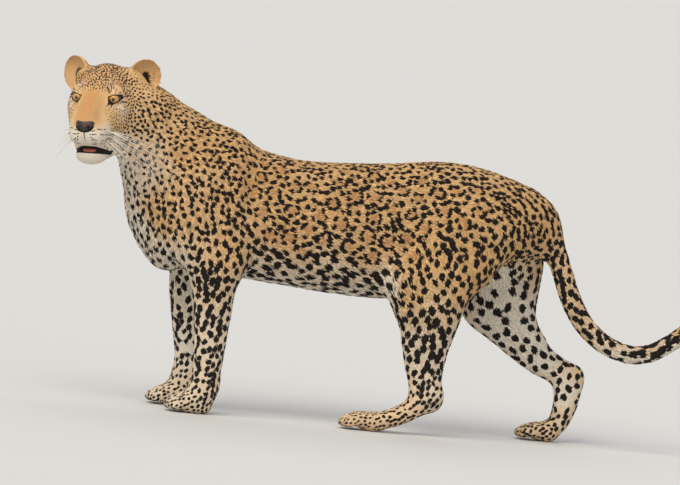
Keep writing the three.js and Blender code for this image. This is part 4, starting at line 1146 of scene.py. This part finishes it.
# The nose leather: bare, finely pebbled skin, near black with browner patches. It is one piece, set in
# the skin of the muzzle and grown a little past its solid. The tongue is finished in the same way.
def bare_finish(name, deep, light, pebble, rough, bump):
    finish = bpy.data.materials.new(name)
    finish.use_nodes = True
    tree = finish.node_tree
    shader = tree.nodes["Principled BSDF"]
    where = joined_to(tree, "ShaderNodeTexCoord")
    mottle = noise(tree, where.outputs["Object"], 90, 4)
    grains = joined_to(tree, "ShaderNodeTexVoronoi", {"Vector": where.outputs["Object"], "Scale": pebble})
    ramp = joined_to(tree, "ShaderNodeValToRGB", {"Fac": mottle.outputs["Fac"]})
    ramp.color_ramp.elements[0].color = deep
    ramp.color_ramp.elements[0].position = 0.42
    ramp.color_ramp.elements[1].color = light
    ramp.color_ramp.elements[1].position = 0.7
    relief = joined_to(tree, "ShaderNodeBump", {"Height": grains.outputs["Distance"], "Strength": bump,
                                                "Distance": 0.001})
    tree.links.new(ramp.outputs["Color"], shader.inputs["Base Color"])
    tree.links.new(relief.outputs["Normal"], shader.inputs["Normal"])
    shader.inputs["Roughness"].default_value = rough
    shader.inputs["Coat Weight"].default_value = 0.3
    return finish


def bare_piece(name, node, grown, finish):
    piece = net_over(name, [node], 0.0011, 8)
    put_at(piece, places(piece) + outwards(piece) * grown)
    bpy.ops.object.shade_smooth()
    piece.data.materials.append(finish)
    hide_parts(node)
    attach(piece, "root")
    return piece


bare_piece("nose_leather", "nose", 0.0007,
           bare_finish("nose_skin", paint(20, 14, 13), paint(84, 50, 38), 900, 0.42, 0.5))


# The tongue: wet flesh, pink and a little rough. It is one piece that lies behind the lower lip, low in
# the open mouth.
bare_piece("tongue_flesh", "tongue", 0.0006,
           bare_finish("tongue_skin", paint(176, 92, 78), paint(214, 128, 104), 700, 0.4, 0.6))


# The whiskers: white bristles from the spotted rows of each pad, swept out, back and down, thick at the
# root and drawn to a hair. Each is shortened until it passes the solids' box by no more than
# whisker_room, so many are shorter than real ones.
whisker_seed = 3
whisker_sides = 5
whisker_steps = 12
whisker_root = 0.0008
whisker_dice = np.random.default_rng(whisker_seed)
whisker_room = 0.012
whisker_sag = 0.55


def near_body(place):
    return all(low - whisker_room < c < high + whisker_room for c, low, high in zip(place, *solids_box))


whisker_net = bmesh.new()
for side in (1, -1):
    for row in range(4):
        for place in range(4):
            aim = on_head(58 - place * 11 - row * 2, side * (30 + place * 4.4 + row),
                          -54 - row * 7 - place * 1.4)
            start = Vector(at[skin_tree.find(aim)[1]])
            reach = whisker_dice.uniform(0.12, 0.185) * (1 - 0.12 * (place == 0))
            way = (left_way * side + crown_way * (-0.2 - 0.2 * row + whisker_dice.uniform(-0.08, 0.08))
                   + nose_way * (0.22 - 0.14 * place)).normalized()
            sag = (-nose_way * 0.5 - crown_way * 0.42) * whisker_dice.uniform(0.8, 1.2)
            while not near_body(start + (way + sag * whisker_sag) * reach):
                reach *= 0.94
            beside = way.cross(crown_way).normalized()
            over = beside.cross(way)
            rings = []
            for step in range(whisker_steps):
                share = step / whisker_steps
                spine = start + way * reach * share + sag * reach * whisker_sag * share * share
                radius = whisker_root * (1 - share) ** 0.8
                rings.append([whisker_net.verts.new(
                    spine + (beside * math.cos(turn) + over * math.sin(turn)) * radius)
                    for turn in np.linspace(0, 2 * math.pi, whisker_sides, endpoint=False)])
            tip = whisker_net.verts.new(start + way * reach + sag * reach * whisker_sag)
            for low, high in zip(rings, rings[1:]):
                for i in range(whisker_sides):
                    j = (i + 1) % whisker_sides
                    whisker_net.faces.new((low[i], low[j], high[j], high[i]))
            for i in range(whisker_sides):
                whisker_net.faces.new((rings[-1][i], rings[-1][(i + 1) % whisker_sides], tip))
            whisker_net.faces.new(list(reversed(rings[0])))
bmesh.ops.recalc_face_normals(whisker_net, faces=whisker_net.faces)
whisker_mesh = bpy.data.meshes.new("whiskers")
whisker_net.to_mesh(whisker_mesh)
whisker_net.free()
whiskers = bpy.data.objects.new("whiskers", whisker_mesh)
bpy.context.scene.collection.objects.link(whiskers)
whisker_mesh.materials.append(
    bare_finish("whisker_horn", paint(225, 220, 208), paint(250, 247, 240), 300, 0.35, 0.1))
whisker_mesh.polygons.foreach_set("use_smooth", np.ones(len(whisker_mesh.polygons), bool))
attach(whiskers, "root")
